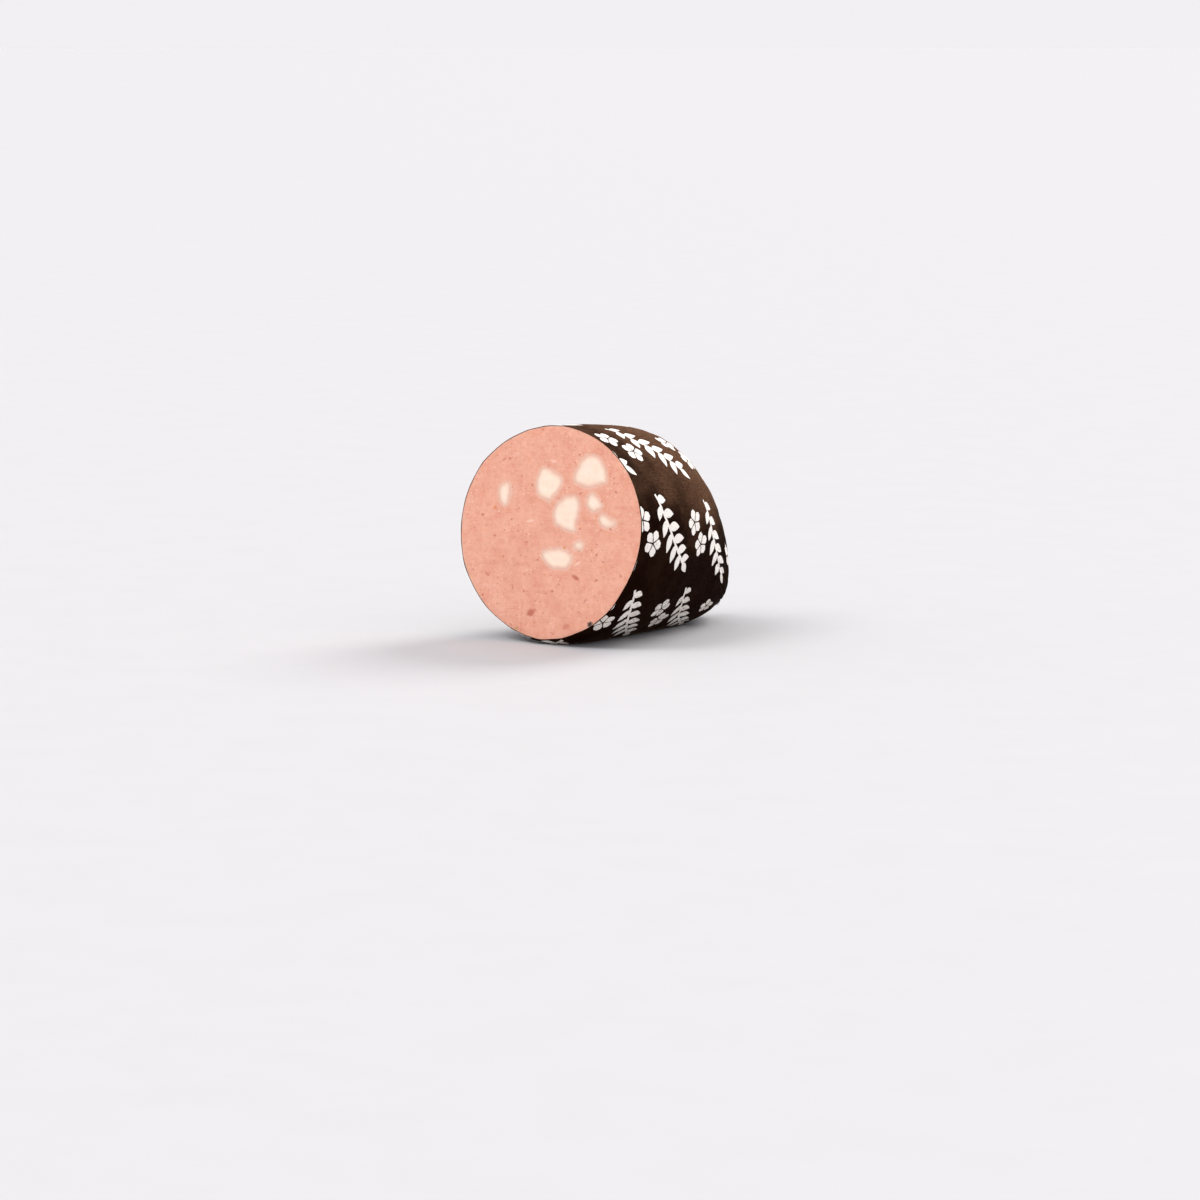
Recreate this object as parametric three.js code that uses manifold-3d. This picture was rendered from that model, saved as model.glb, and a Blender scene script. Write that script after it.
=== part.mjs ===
// The cut end of a small mortadella, lying on its side.
//
// A tapered log of cooked pork paste (the meat) sits in a thin fibrous bag (the casing).
// The bag is gathered at the far end and closed with a clip, and the near end is one
// straight knife cut, which shows cubes of white back fat (the lardelli) set in the meat.
//
// Axes: the log runs along +Y from its cut face, +X is its right flank, +Z is up.
// The log's own origin is on the floor under the middle of the cut face. The last lines
// move everything so that the finished part's origin is the bottom centre of its box.

import * as THREE from "three";
import { mergeVertices } from "three/addons/utils/BufferGeometryUtils.js";
import Module from "manifold-3d";

const wasm = await Module();
wasm.setup();

// ---- Driving dimensions, millimetres and degrees ----

const BODY_LENGTH = 116;        // cut face to the gathered tip of the bag
const BODY_WIDTH = 107.5;       // at the cut face
const BODY_HEIGHT = 104;        // at the cut face
const TOP_FALL = 0.06;          // how fast the top line sinks, per unit of length
const TIP_HEIGHT = 11;          // the gathered tip droops to this height
const TIP_SWAY = 8;             // and bends this far to the right
const FACE_LEAN = 6;            // the knife cut leans back by this angle
const PRESS = 1.3;              // depth of underside pressed flat by the log's weight
const RIM_LIFT = 2.25;          // how much the cut rim springs up off the floor
const RIM_LIFT_REACH = 7;       // length over which that lift dies away

const CASING_WALL = 0.8;
const CLEARANCE = 0.3;          // between any two pieces that touch
const PLUG_LENGTH = 4;          // solid gathered casing between the meat and the neck
const NECK_RADIUS = 3.2;
const TAIL_RADIUS = 4.5;
const TAIL_LENGTH = 6.5;
const TAIL_BEND = 0.9;          // how fast the tail bends back to the left, per unit of length

const CLIP_LENGTH = 2.6;        // along the neck
const CLIP_WIRE = 1.4;          // thickness of the clip's metal
const CLIP_CORNER = 2.2;

const LAYOUT_WIDTH = 107.5;     // the size of face that the lardelli are laid out on
const LAYOUT_HEIGHT = 104;
const LARDELLO_CORNER = 2.4;    // how far each corner is rounded, along its sides
const POCKET_OVERRUN = 1;       // how far a pocket's cutter stands out of the face

// The lardelli as the knife shows them: outline points (right, up) from the middle of
// the face, and how deep the cube goes into the meat.
const LARDELLI = [
  { depth: 8, outline: [[-31, 22], [-26, 22.5], [-24.5, 17], [-26.5, 10.5], [-29.5, 11], [-32.5, 16]] },
  { depth: 14, outline: [[-7.5, 30.5], [-3.5, 31], [6, 27], [6.5, 24.5], [3, 18.5], [-1, 14.5], [-8.5, 17.5],
    [-10.5, 24]] },
  { depth: 15, outline: [[18, 37.5], [24, 39], [27.5, 37.5], [32.5, 30], [32.5, 25], [19.5, 22.5], [13, 25.5],
    [12.5, 29]] },
  { depth: 14, outline: [[9, 19], [15.5, 18.5], [17.5, 15], [15.5, 1.5], [11.5, 1.5], [2.5, 4.5], [1.5, 8.5],
    [3.5, 15]] },
  { depth: 9, outline: [[24, 21], [26.5, 20.5], [31.5, 15.5], [29.5, 13.5], [25.5, 11], [21, 14],
    [21.5, 19.5]] },
  { depth: 8, outline: [[30, 11.5], [33, 12], [35, 9.5], [40, 8.5], [37, 5], [33, 4.5], [30, 6], [28, 9]] },
  { depth: 5, outline: [[15, -2.5], [21, -2], [21.5, -6.5], [15, -7]] },
  { depth: 12, outline: [[-0.5, -7], [10.5, -6.5], [14.5, -9], [15, -12.5], [11.5, -16], [1.5, -16.5],
    [-3.5, -12.5], [-4, -9]] },
];

// ---- Shape of the log's lines; x is the station's share of the length ----

const SIDE_POWER = 1.8;         // plan view: a blunt, slightly tapering oval end
const SIDE_ROOT = 0.52;
const TOP_POWER = 5.5;          // side view: a straight top, then a shoulder
const TOP_ROOT = 1.05;
const UNDERSIDE_POWER = 10;     // side view: flat on the floor almost to the tip
const SWAY_POWER = 3;
const OUT_OF_ROUND_2 = 0.016;   // the soft log's section is a little out of round
const OUT_OF_ROUND_3 = 0.013;

// ---- How finely the round shapes are faceted ----

const SEGMENTS = 44;            // round the log
const STATIONS = 15;            // along it
const CORNER_STEPS = 3;         // round a lardello's corner
const CLIP_STEPS = 12;          // half as many as round the clip's bore

const lean = THREE.MathUtils.degToRad(FACE_LEAN);
const nominalRadius = BODY_WIDTH / 2;

/** x to a power, with its sign kept, so that the lines run on past the cut face. */
function signedPower(x, power) {
  return Math.sign(x) * Math.abs(x) ** power;
}

/** 1 at the cut face and beyond, falling to 0 at the tip. */
function closing(station, power, root) {
  return Math.max(1 - signedPower(station / BODY_LENGTH, power), 0) ** root;
}

/** How far a station is behind the neck, and so in the tail. */
function behindNeck(station) {
  return station - BODY_LENGTH - neckLength;
}

/** Radius of the neck, and of the tail that flares out behind it. */
function tailRadius(station) {
  const share = THREE.MathUtils.clamp(behindNeck(station) / TAIL_LENGTH, 0, 1);
  return NECK_RADIUS + (TAIL_RADIUS - NECK_RADIUS) * Math.sin(share * Math.PI / 2);
}

/** The section at a station: half width, heights of its top and bottom, and its sway. */
function section(station) {
  const x = Math.min(station / BODY_LENGTH, 1);
  const neck = tailRadius(station);
  const halfWidth = BODY_WIDTH / 2 * closing(station, SIDE_POWER, SIDE_ROOT);
  const topLine = BODY_HEIGHT - TOP_FALL * station - TIP_HEIGHT;
  const top = TIP_HEIGHT + topLine * closing(station, TOP_POWER, TOP_ROOT);
  const rise = (TIP_HEIGHT + PRESS) * signedPower(x, UNDERSIDE_POWER);
  const bottom = rise - PRESS + RIM_LIFT * Math.exp(-station / RIM_LIFT_REACH);
  const middle = (top + bottom) / 2;
  const halfHeight = Math.hypot((top - bottom) / 2, neck);
  return {
    halfWidth: Math.hypot(halfWidth, neck),
    top: middle + halfHeight,
    bottom: middle - halfHeight,
    sway: TIP_SWAY * signedPower(x, SWAY_POWER) - TAIL_BEND * Math.max(behindNeck(station), 0),
    outOfRound: 1 - signedPower(x, UNDERSIDE_POWER),
  };
}

/** How much longer a sloping line's cut is than its wall, where it climbs by `slope`. */
function slant(slope) {
  return Math.hypot(1, slope);
}

/** The section at a depth under the skin, the depth being measured square to the skin. */
function sectionUnderSkin(station, depth) {
  const step = 0.5;
  const here = section(station);
  const before = section(station - step);
  const climb = (name) => (here[name] - before[name]) / step;
  return {
    halfWidth: here.halfWidth - depth * slant(climb("halfWidth")),
    top: here.top - depth * slant(climb("top")),
    bottom: here.bottom + depth * slant(climb("bottom")),
    sway: here.sway,
    outOfRound: here.outOfRound,
  };
}

const neckLength = CLIP_LENGTH + 2 * CLEARANCE;
const faceSection = section(0);
const faceMiddle = (faceSection.top + faceSection.bottom) / 2;

/** A point of the log, at a depth under its skin, or on its axis where depth is null. */
function logPoint(depth, station, angle) {
  const at = sectionUnderSkin(station, depth ?? 0);
  const middle = (at.top + at.bottom) / 2;
  if (depth === null) {
    return new THREE.Vector3(at.sway, station, middle);
  }
  const wave = OUT_OF_ROUND_2 * Math.sin(2 * angle) + OUT_OF_ROUND_3 * Math.sin(3 * angle);
  const round = 1 + at.outOfRound * wave;
  const x = at.sway + at.halfWidth * round * Math.cos(angle);
  const z = middle + (at.top - at.bottom) / 2 * round * Math.sin(angle);
  return new THREE.Vector3(x, station, Math.max(z, depth));
}

/** The same point with its station sheared, so that station 0 lies in the leaning cut. */
function leaningPoint(depth, station, angle) {
  let front = 0;
  for (let round = 0; round < 6; round += 1) {
    front = Math.tan(lean) * (logPoint(depth, front, angle).z - faceMiddle);
  }
  const share = Math.max(1 - station / BODY_LENGTH, 0);
  return logPoint(depth, station + front * share, angle);
}

/** Bends a plain turned log (radius nominalRadius, along +Y) into the shape of the real one. */
function bend(geometry) {
  const position = geometry.getAttribute("position");
  const plain = new THREE.Vector3();
  for (let index = 0; index < position.count; index += 1) {
    plain.fromBufferAttribute(position, index);
    const radius = Math.hypot(plain.x, plain.z);
    const depth = radius < 1e-3 ? null : nominalRadius - radius;
    const bent = leaningPoint(depth, plain.y, Math.atan2(plain.z, plain.x));
    position.setXYZ(index, bent.x, bent.y, bent.z);
  }
  return geometry;
}

/** Stations from the cut face to `end`, closer together near both ends. */
function stationsTo(end) {
  return Array.from({ length: STATIONS + 1 }, (_, k) => end * (1 - Math.cos(k / STATIONS * Math.PI)) / 2);
}

/** Position-only copy of a geometry with its shared vertices merged, faces pointing out. */
function closedSurface(geometry) {
  const bare = geometry.index ? geometry.toNonIndexed() : geometry.clone();
  bare.deleteAttribute("normal");
  bare.deleteAttribute("uv");
  const merged = mergeVertices(bare, 1e-4);
  const position = merged.getAttribute("position");
  const corners = [new THREE.Vector3(), new THREE.Vector3(), new THREE.Vector3()];
  const triangles = [];
  let volume = 0;
  for (let index = 0; index < merged.index.count; index += 3) {
    const ids = [0, 1, 2].map((k) => merged.index.getX(index + k));
    if (new Set(ids).size < 3) {
      continue;
    }
    ids.forEach((id, k) => corners[k].fromBufferAttribute(position, id));
    volume += corners[0].dot(corners[1].clone().cross(corners[2]));
    triangles.push(...ids);
  }
  if (volume < 0) {
    triangles.reverse();
  }
  merged.setIndex(triangles);
  return merged;
}

/** A closed geometry as a solid that can be joined and cut. */
function solid(geometry) {
  const surface = closedSurface(geometry);
  const vertProperties = new Float32Array(surface.getAttribute("position").array);
  const triVerts = new Uint32Array(surface.index.array);
  return new wasm.Manifold(new wasm.Mesh({ numProp: 3, vertProperties, triVerts }));
}

/** A joined or cut solid as a geometry again. */
function toGeometry(manifold) {
  const mesh = manifold.getMesh();
  const geometry = new THREE.BufferGeometry();
  geometry.setAttribute("position", new THREE.BufferAttribute(new Float32Array(mesh.vertProperties), 3));
  geometry.setIndex(new THREE.BufferAttribute(new Uint32Array(mesh.triVerts), 1));
  geometry.computeVertexNormals();
  return geometry;
}

// ---- Outlines on the cut face ----

/** An outline's points moved outwards by a distance; the points run clockwise. */
function grown(points, distance) {
  const count = points.length;
  return points.map((point, index) => {
    const before = point.clone().sub(points[(index + count - 1) % count]).normalize();
    const after = points[(index + 1) % count].clone().sub(point).normalize();
    const outBefore = new THREE.Vector2(-before.y, before.x);
    const outAfter = new THREE.Vector2(-after.y, after.x);
    const out = outBefore.clone().add(outAfter);
    return point.clone().addScaledVector(out, distance / (1 + outBefore.dot(outAfter)));
  });
}

/** A closed shape through an outline's points, each corner rounded off. */
function roundedShape(points, corner) {
  const count = points.length;
  const shape = new THREE.Shape();
  points.forEach((point, index) => {
    const towards = (other) => {
      const side = other.clone().sub(point);
      return point.clone().addScaledVector(side, Math.min(corner / side.length(), 0.45));
    };
    const start = towards(points[(index + count - 1) % count]);
    const end = towards(points[(index + 1) % count]);
    if (index === 0) {
      shape.moveTo(start.x, start.y);
    } else {
      shape.lineTo(start.x, start.y);
    }
    shape.quadraticCurveTo(point.x, point.y, end.x, end.y);
  });
  return shape;
}

/** A lardello's outline, spread over the real face from the one it was laid out on. */
function faceOutline(outline) {
  const spread = new THREE.Vector2(BODY_WIDTH / LAYOUT_WIDTH, BODY_HEIGHT / LAYOUT_HEIGHT);
  return outline.map(([right, up]) => new THREE.Vector2(right, up).multiply(spread));
}

/** A prism from `back` behind the cut face to `front` before it, in the log's axes. */
function facePrism(points, back, front) {
  const options = { depth: back + front, steps: 1, bevelEnabled: false, curveSegments: CORNER_STEPS };
  const geometry = new THREE.ExtrudeGeometry(roundedShape(points, LARDELLO_CORNER), options);
  const turn = new THREE.Matrix4().makeRotationX(Math.PI / 2 - lean).setPosition(0, 0, faceMiddle);
  return geometry.translate(0, 0, -back).applyMatrix4(turn);
}

// ---- The pieces ----

const onSkin = (depth) => (station) => new THREE.Vector2(nominalRadius - depth, station);
const onAxis = (station) => new THREE.Vector2(0, station);

/** A profile turned into a plain log and bent into shape. */
function turned(profile) {
  return bend(new THREE.LatheGeometry(profile, SEGMENTS));
}

/** The bag: the outer skin with its neck and tail, and the inner skin that holds the meat. */
function casingGeometry() {
  const tailStart = BODY_LENGTH + neckLength;
  const tailStations = [0, 0.5, 1].map((share) => tailStart + share * TAIL_LENGTH);
  const outer = [...stationsTo(BODY_LENGTH), ...tailStations].map(onSkin(0));
  const inner = stationsTo(BODY_LENGTH - PLUG_LENGTH).map(onSkin(CASING_WALL)).reverse();
  const axis = [onAxis(tailStations.at(-1)), onAxis(inner[0].y)];
  const surface = closedSurface(turned([...outer, ...axis, ...inner, outer[0]]));
  surface.computeVertexNormals();
  return surface;
}

/**
 * The meat: fills the bag, with a pocket in the cut face for each lardello. Its profile runs
 * from the tip to the face, as the bag's inner skin does, so that both are faceted alike.
 */
function meatGeometry() {
  const stations = stationsTo(BODY_LENGTH - PLUG_LENGTH - 2 * CLEARANCE).reverse();
  const skin = stations.map(onSkin(CASING_WALL + CLEARANCE));
  let meat = solid(turned([onAxis(stations[0]), ...skin, onAxis(0)]));
  for (const { depth, outline } of LARDELLI) {
    const mouth = grown(faceOutline(outline), CLEARANCE);
    meat = meat.subtract(solid(facePrism(mouth, depth + CLEARANCE, POCKET_OVERRUN)));
  }
  return toGeometry(meat);
}

/** The clip: a flat ring of soft metal, pressed round the neck of the bag. */
function clipGeometry() {
  const bore = NECK_RADIUS + CLEARANCE;
  const half = bore + CLIP_WIRE;
  const corners = [[-half, -half], [-half, half], [half, half], [half, -half]];
  const shape = roundedShape(corners.map(([x, y]) => new THREE.Vector2(x, y)), CLIP_CORNER);
  shape.holes.push(new THREE.Path().absarc(0, 0, bore, 0, 2 * Math.PI));
  const options = { depth: CLIP_LENGTH, steps: 1, bevelEnabled: false, curveSegments: CLIP_STEPS };
  const at = section(BODY_LENGTH);
  return new THREE.ExtrudeGeometry(shape, options)
    .rotateX(-Math.PI / 2)
    .translate(at.sway, BODY_LENGTH + CLEARANCE, (at.top + at.bottom) / 2);
}

const finishes = {
  meat: new THREE.MeshStandardMaterial({ color: 0xf0ac96, roughness: 0.55, metalness: 0 }),
  fat: new THREE.MeshStandardMaterial({ color: 0xffe6d2, roughness: 0.5, metalness: 0 }),
  casing: new THREE.MeshStandardMaterial({ color: 0x2d2320, roughness: 0.8, metalness: 0 }),
  metal: new THREE.MeshStandardMaterial({ color: 0xc8cacc, roughness: 0.35, metalness: 1 }),
};

const log = new THREE.Group();

/** Adds one named piece to the log. */
function addPiece(name, geometry, material) {
  const mesh = new THREE.Mesh(geometry, material);
  mesh.name = name;
  log.add(mesh);
}

addPiece("meat", meatGeometry(), finishes.meat);
addPiece("casing", casingGeometry(), finishes.casing);
addPiece("clip", clipGeometry(), finishes.metal);
LARDELLI.forEach(({ depth, outline }, index) => {
  addPiece(`lardello_${index + 1}`, facePrism(faceOutline(outline), depth, 0), finishes.fat);
});

// The part's origin is the bottom centre of its box.
const box = new THREE.Box3().setFromObject(log, true);
const middle = box.getCenter(new THREE.Vector3());
log.position.set(-middle.x, -middle.y, -box.min.z);

const part = new THREE.Group();
part.add(log);

export default part;
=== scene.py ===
"""A cut mortadella in its printed casing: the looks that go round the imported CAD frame.

Everything is worked out in millimetres in the log's own frame (the cut face at station 0,
stations running along +Y to the gathered tip) and placed in the row frame, in metres, at the
very end. The log's lines follow the same rule as the CAD part's.
"""

import logging
import math
from dataclasses import dataclass, field
from enum import Enum
from typing import NamedTuple

import bpy
import numpy as np
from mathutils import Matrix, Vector
from mathutils.geometry import delaunay_2d_cdt

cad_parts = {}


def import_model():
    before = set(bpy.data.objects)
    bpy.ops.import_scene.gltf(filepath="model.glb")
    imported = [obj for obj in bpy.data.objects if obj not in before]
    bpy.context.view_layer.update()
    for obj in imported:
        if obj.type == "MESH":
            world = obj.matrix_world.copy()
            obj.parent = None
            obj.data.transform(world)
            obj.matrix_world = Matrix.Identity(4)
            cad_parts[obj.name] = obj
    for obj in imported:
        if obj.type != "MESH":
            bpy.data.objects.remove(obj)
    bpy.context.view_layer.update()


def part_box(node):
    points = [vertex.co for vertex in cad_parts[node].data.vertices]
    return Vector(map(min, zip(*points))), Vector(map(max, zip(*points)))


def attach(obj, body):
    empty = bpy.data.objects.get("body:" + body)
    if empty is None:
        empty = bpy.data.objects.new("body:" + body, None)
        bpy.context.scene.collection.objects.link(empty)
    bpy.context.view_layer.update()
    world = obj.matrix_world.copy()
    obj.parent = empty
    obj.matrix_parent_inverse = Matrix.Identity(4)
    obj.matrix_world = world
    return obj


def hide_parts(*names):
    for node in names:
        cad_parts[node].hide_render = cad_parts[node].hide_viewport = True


MM = 0.001
BODY = "root"
CREASE = 40.0

log = logging.getLogger("mortadella")

Array = np.ndarray
Colour = tuple[float, float, float]
Faces = list[tuple[int, ...]]


class Slot(Enum):
    """The pieces' material slots."""

    MEAT = "meat"
    FAT = "fat"
    CASING = "casing"
    PRINT = "print"
    METAL = "metal"


class Motif(Enum):
    """The shapes that the printed pattern repeats."""

    LEAF = "leaf"
    PETAL = "petal"
    STEM = "stem"


# ---------------------------------------------------------------------------
# Soft randomness and small helpers
# ---------------------------------------------------------------------------


class Ripple:
    """A smooth random field: a fixed sum of plane waves with random directions."""

    def __init__(self, size: float, seed: int, waves: int = 14) -> None:
        """Set up the waves.

        Args:
            size: rough width of one bump, in the units of the points.
            seed: fixes the waves.
            waves: how many waves are summed.
        """
        random = np.random.default_rng(seed)
        towards = random.normal(size=(waves, 3))
        towards /= np.linalg.norm(towards, axis=1)[:, None]
        pitch = math.pi / size * random.uniform(0.6, 1.4, waves)
        self.waves = towards * pitch[:, None]
        self.phase = random.uniform(0, 2 * math.pi, waves)
        self.gain = math.sqrt(2 / waves)

    def __call__(self, points: Array) -> Array:
        """Give the field, with a spread of about 1, at points of shape (..., 3)."""
        return np.cos(points @ self.waves.T + self.phase).sum(-1) * self.gain


def smooth_step(low: float, high: float, value: Array) -> Array:
    """Run smoothly from 0 at low to 1 at high."""
    share = np.clip((value - low) / (high - low), 0, 1)
    return share * share * (3 - 2 * share)


def signed_power(value: Array, power: float) -> Array:
    """Raise to a power with the sign kept."""
    return np.sign(value) * np.abs(value) ** power


def volume_of(points: Array, faces: Faces) -> float:
    """Signed volume of a closed mesh, positive when its faces point outwards."""
    total = 0.0
    for face in faces:
        first = points[face[0]]
        for one, two in zip(face[1:-1], face[2:]):
            total += float(first @ np.cross(points[one], points[two]))
    return total / 6


def grid_faces(rows: list[Array]) -> Faces:
    """Join rings of point numbers, one after another, by quads.

    Args:
        rows: rings of equal length, each running the same way round.

    Returns:
        The quads, as point numbers.
    """
    faces = []
    for one, two in zip(rows[:-1], rows[1:]):
        nxt_one, nxt_two = np.roll(one, -1), np.roll(two, -1)
        faces += [tuple(f) for f in np.stack([one, nxt_one, nxt_two, two], 1).tolist()]
    return faces


def fan_faces(ring: Array, hub: int, outward: bool) -> Faces:
    """Close a ring of points with triangles to one hub point."""
    pairs = np.stack([ring, np.roll(ring, -1)], 1).tolist()
    return [(a, b, hub) if outward else (b, a, hub) for a, b in pairs]


# ---------------------------------------------------------------------------
# The log's shape
# ---------------------------------------------------------------------------


class Section(NamedTuple):
    """The log's section at each station."""

    half_width: Array
    top: Array
    bottom: Array
    sway: Array
    out_of_round: Array


@dataclass
class LogShape:
    """The rule for the log's outside, in millimetres, and its place in the row frame."""

    length: float = 116.0
    width: float = 107.5
    height: float = 104.0
    top_fall: float = 0.06
    tip_height: float = 11.0
    tip_sway: float = 8.0
    face_lean: float = math.radians(6)
    press: float = 1.3
    rim_lift: float = 2.25
    rim_lift_reach: float = 7.0
    neck_radius: float = 3.2
    neck_length: float = 3.2
    tail_radius: float = 4.5
    tail_length: float = 6.5
    tail_bend: float = 0.9
    clip_length: float = 2.6
    clearance: float = 0.3
    side_power: float = 1.8
    side_root: float = 0.52
    top_power: float = 5.5
    top_root: float = 1.05
    underside_power: float = 10.0
    sway_power: float = 3.0
    out_of_round_2: float = 0.016
    out_of_round_3: float = 0.013
    lean_rounds: int = 6
    origin: Array = field(default_factory=lambda: np.zeros(3))

    @classmethod
    def from_frame(cls) -> "LogShape":
        """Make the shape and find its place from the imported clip, which sits on the neck."""
        shape = cls()
        low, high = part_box("clip")
        middle = np.array((low + high) / 2) / MM
        at = shape.section(np.array(shape.length))
        station = shape.length + shape.clearance + shape.clip_length / 2
        neck = np.array([float(at.sway), station, float(at.top + at.bottom) / 2])
        shape.origin = middle - neck
        return shape

    @property
    def face_middle(self) -> float:
        """Height of the middle of the cut face."""
        at = self.section(np.array(0.0))
        return float(at.top + at.bottom) / 2

    @property
    def tail_start(self) -> float:
        """Station where the tail flares out of the neck."""
        return self.length + self.neck_length

    def section(self, station: Array) -> Section:
        """Give the section at stations, neck and tail included."""
        share = np.minimum(station / self.length, 1)
        flare = np.clip((station - self.tail_start) / self.tail_length, 0, 1)
        spread = (self.tail_radius - self.neck_radius) * np.sin(flare * math.pi / 2)
        neck = self.neck_radius + spread
        closing = np.maximum(1 - signed_power(share, self.side_power), 0) ** self.side_root
        shoulder = np.maximum(1 - signed_power(share, self.top_power), 0) ** self.top_root
        top_line = self.height - self.top_fall * station - self.tip_height
        top = self.tip_height + top_line * shoulder
        rise = (self.tip_height + self.press) * signed_power(share, self.underside_power)
        lift = self.rim_lift * np.exp(-station / self.rim_lift_reach)
        bottom = rise - self.press + lift
        middle = (top + bottom) / 2
        half_height = np.hypot((top - bottom) / 2, neck)
        return Section(
            np.hypot(self.width / 2 * closing, neck),
            middle + half_height,
            middle - half_height,
            self.tip_sway * signed_power(share, self.sway_power)
            - self.tail_bend * np.maximum(station - self.tail_start, 0),
            1 - signed_power(share, self.underside_power),
        )

    def plain_point(self, station: Array, angle: Array) -> Array:
        """Give points of the skin before the cut face leans back."""
        at = self.section(station)
        middle = (at.top + at.bottom) / 2
        wave = self.out_of_round_2 * np.sin(2 * angle) + self.out_of_round_3 * np.sin(3 * angle)
        around = 1 + at.out_of_round * wave
        right = at.sway + at.half_width * around * np.cos(angle)
        up = middle + (at.top - at.bottom) / 2 * around * np.sin(angle)
        return np.stack([right, station + 0 * angle, np.maximum(up, 0)], -1)

    def point(self, station: Array, angle: Array) -> Array:
        """Give points of the skin, sheared so that station 0 lies in the leaning cut."""
        front = np.zeros(np.broadcast(station, angle).shape)
        for _ in range(self.lean_rounds):
            height = self.plain_point(front, angle)[..., 2]
            front = math.tan(self.face_lean) * (height - self.face_middle)
        share = np.maximum(1 - station / self.length, 0)
        return self.plain_point(station + front * share, angle)

    def normal(self, station: Array, angle: Array) -> Array:
        """Give the skin's outward directions, from small steps along and around."""
        step, swing = 0.15, 0.004
        along = self.point(station + step, angle) - self.point(station - step, angle)
        around = self.point(station, angle + swing) - self.point(station, angle - swing)
        out = np.cross(along, around)
        return out / np.maximum(np.linalg.norm(out, axis=-1, keepdims=True), 1e-9)

    def on_face(self, right: Array, up: Array, out: Array) -> Array:
        """Give points on or before the leaning cut face, from face coordinates."""
        sine, cosine = math.sin(self.face_lean), math.cos(self.face_lean)
        back = up * sine - out * cosine
        high = self.face_middle + up * cosine + out * sine
        return np.stack([right + 0 * out, back, high], -1)

    def face_coordinates(self, points: Array) -> Array:
        """Give (right, up, out) of points, the inverse of on_face."""
        sine, cosine = math.sin(self.face_lean), math.cos(self.face_lean)
        rise = points[..., 2] - self.face_middle
        up = points[..., 1] * sine + rise * cosine
        return np.stack([points[..., 0], up, rise * sine - points[..., 1] * cosine], -1)

    def place(self, points: Array) -> Array:
        """Carry points into the row frame, in metres."""
        return (points + self.origin) * MM


def make_piece(
    name: str, shape: LogShape, points: Array, faces: Faces, crease: float = 0.0
) -> bpy.types.Object:
    """Make a mesh object at the origin from points in the log's frame.

    Args:
        name: the piece's name.
        shape: places the points in the row frame.
        points: the points, in millimetres.
        faces: the faces, as point numbers; turned round if they point inwards.
        crease: edges that turn by more degrees than this are kept sharp; 0 keeps none.

    Returns:
        The new object, linked to the scene.
    """
    if volume_of(points, faces) < 0:
        faces = [face[::-1] for face in faces]
    mesh = bpy.data.meshes.new(name)
    mesh.from_pydata(shape.place(points).tolist(), [], faces)
    mesh.update()
    mesh.polygons.foreach_set("use_smooth", [True] * len(mesh.polygons))
    if crease:
        mesh.set_sharp_from_angle(angle=math.radians(crease))
    piece = bpy.data.objects.new(name, mesh)
    bpy.context.scene.collection.objects.link(piece)
    return piece


def write_numbers(piece: bpy.types.Object, name: str, values: Array) -> None:
    """Store one number for each point of a piece as a named attribute."""
    store = piece.data.attributes.new(name, "FLOAT", "POINT")
    store.data.foreach_set("value", np.asarray(values, np.float32).ravel())


def write_vectors(piece: bpy.types.Object, name: str, values: Array) -> None:
    """Store one vector for each point of a piece as a named attribute."""
    store = piece.data.attributes.new(name, "FLOAT_VECTOR", "POINT")
    store.data.foreach_set("vector", np.asarray(values, np.float32).ravel())


def report(piece: bpy.types.Object, slot: Slot, *nodes: str) -> bpy.types.Object:
    """Fix a finished piece to the body, hide the CAD nodes that it stands for, and log it.

    Args:
        piece: the finished piece.
        slot: not used.
        nodes: the CAD nodes that it replaces.

    Returns:
        The same piece.
    """
    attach(piece, BODY)
    if nodes:
        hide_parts(*nodes)
    log.info("%s: %d faces, for %s", piece.name, len(piece.data.polygons), nodes or "print")
    return piece


# ---------------------------------------------------------------------------
# Finishes
# ---------------------------------------------------------------------------


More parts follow.
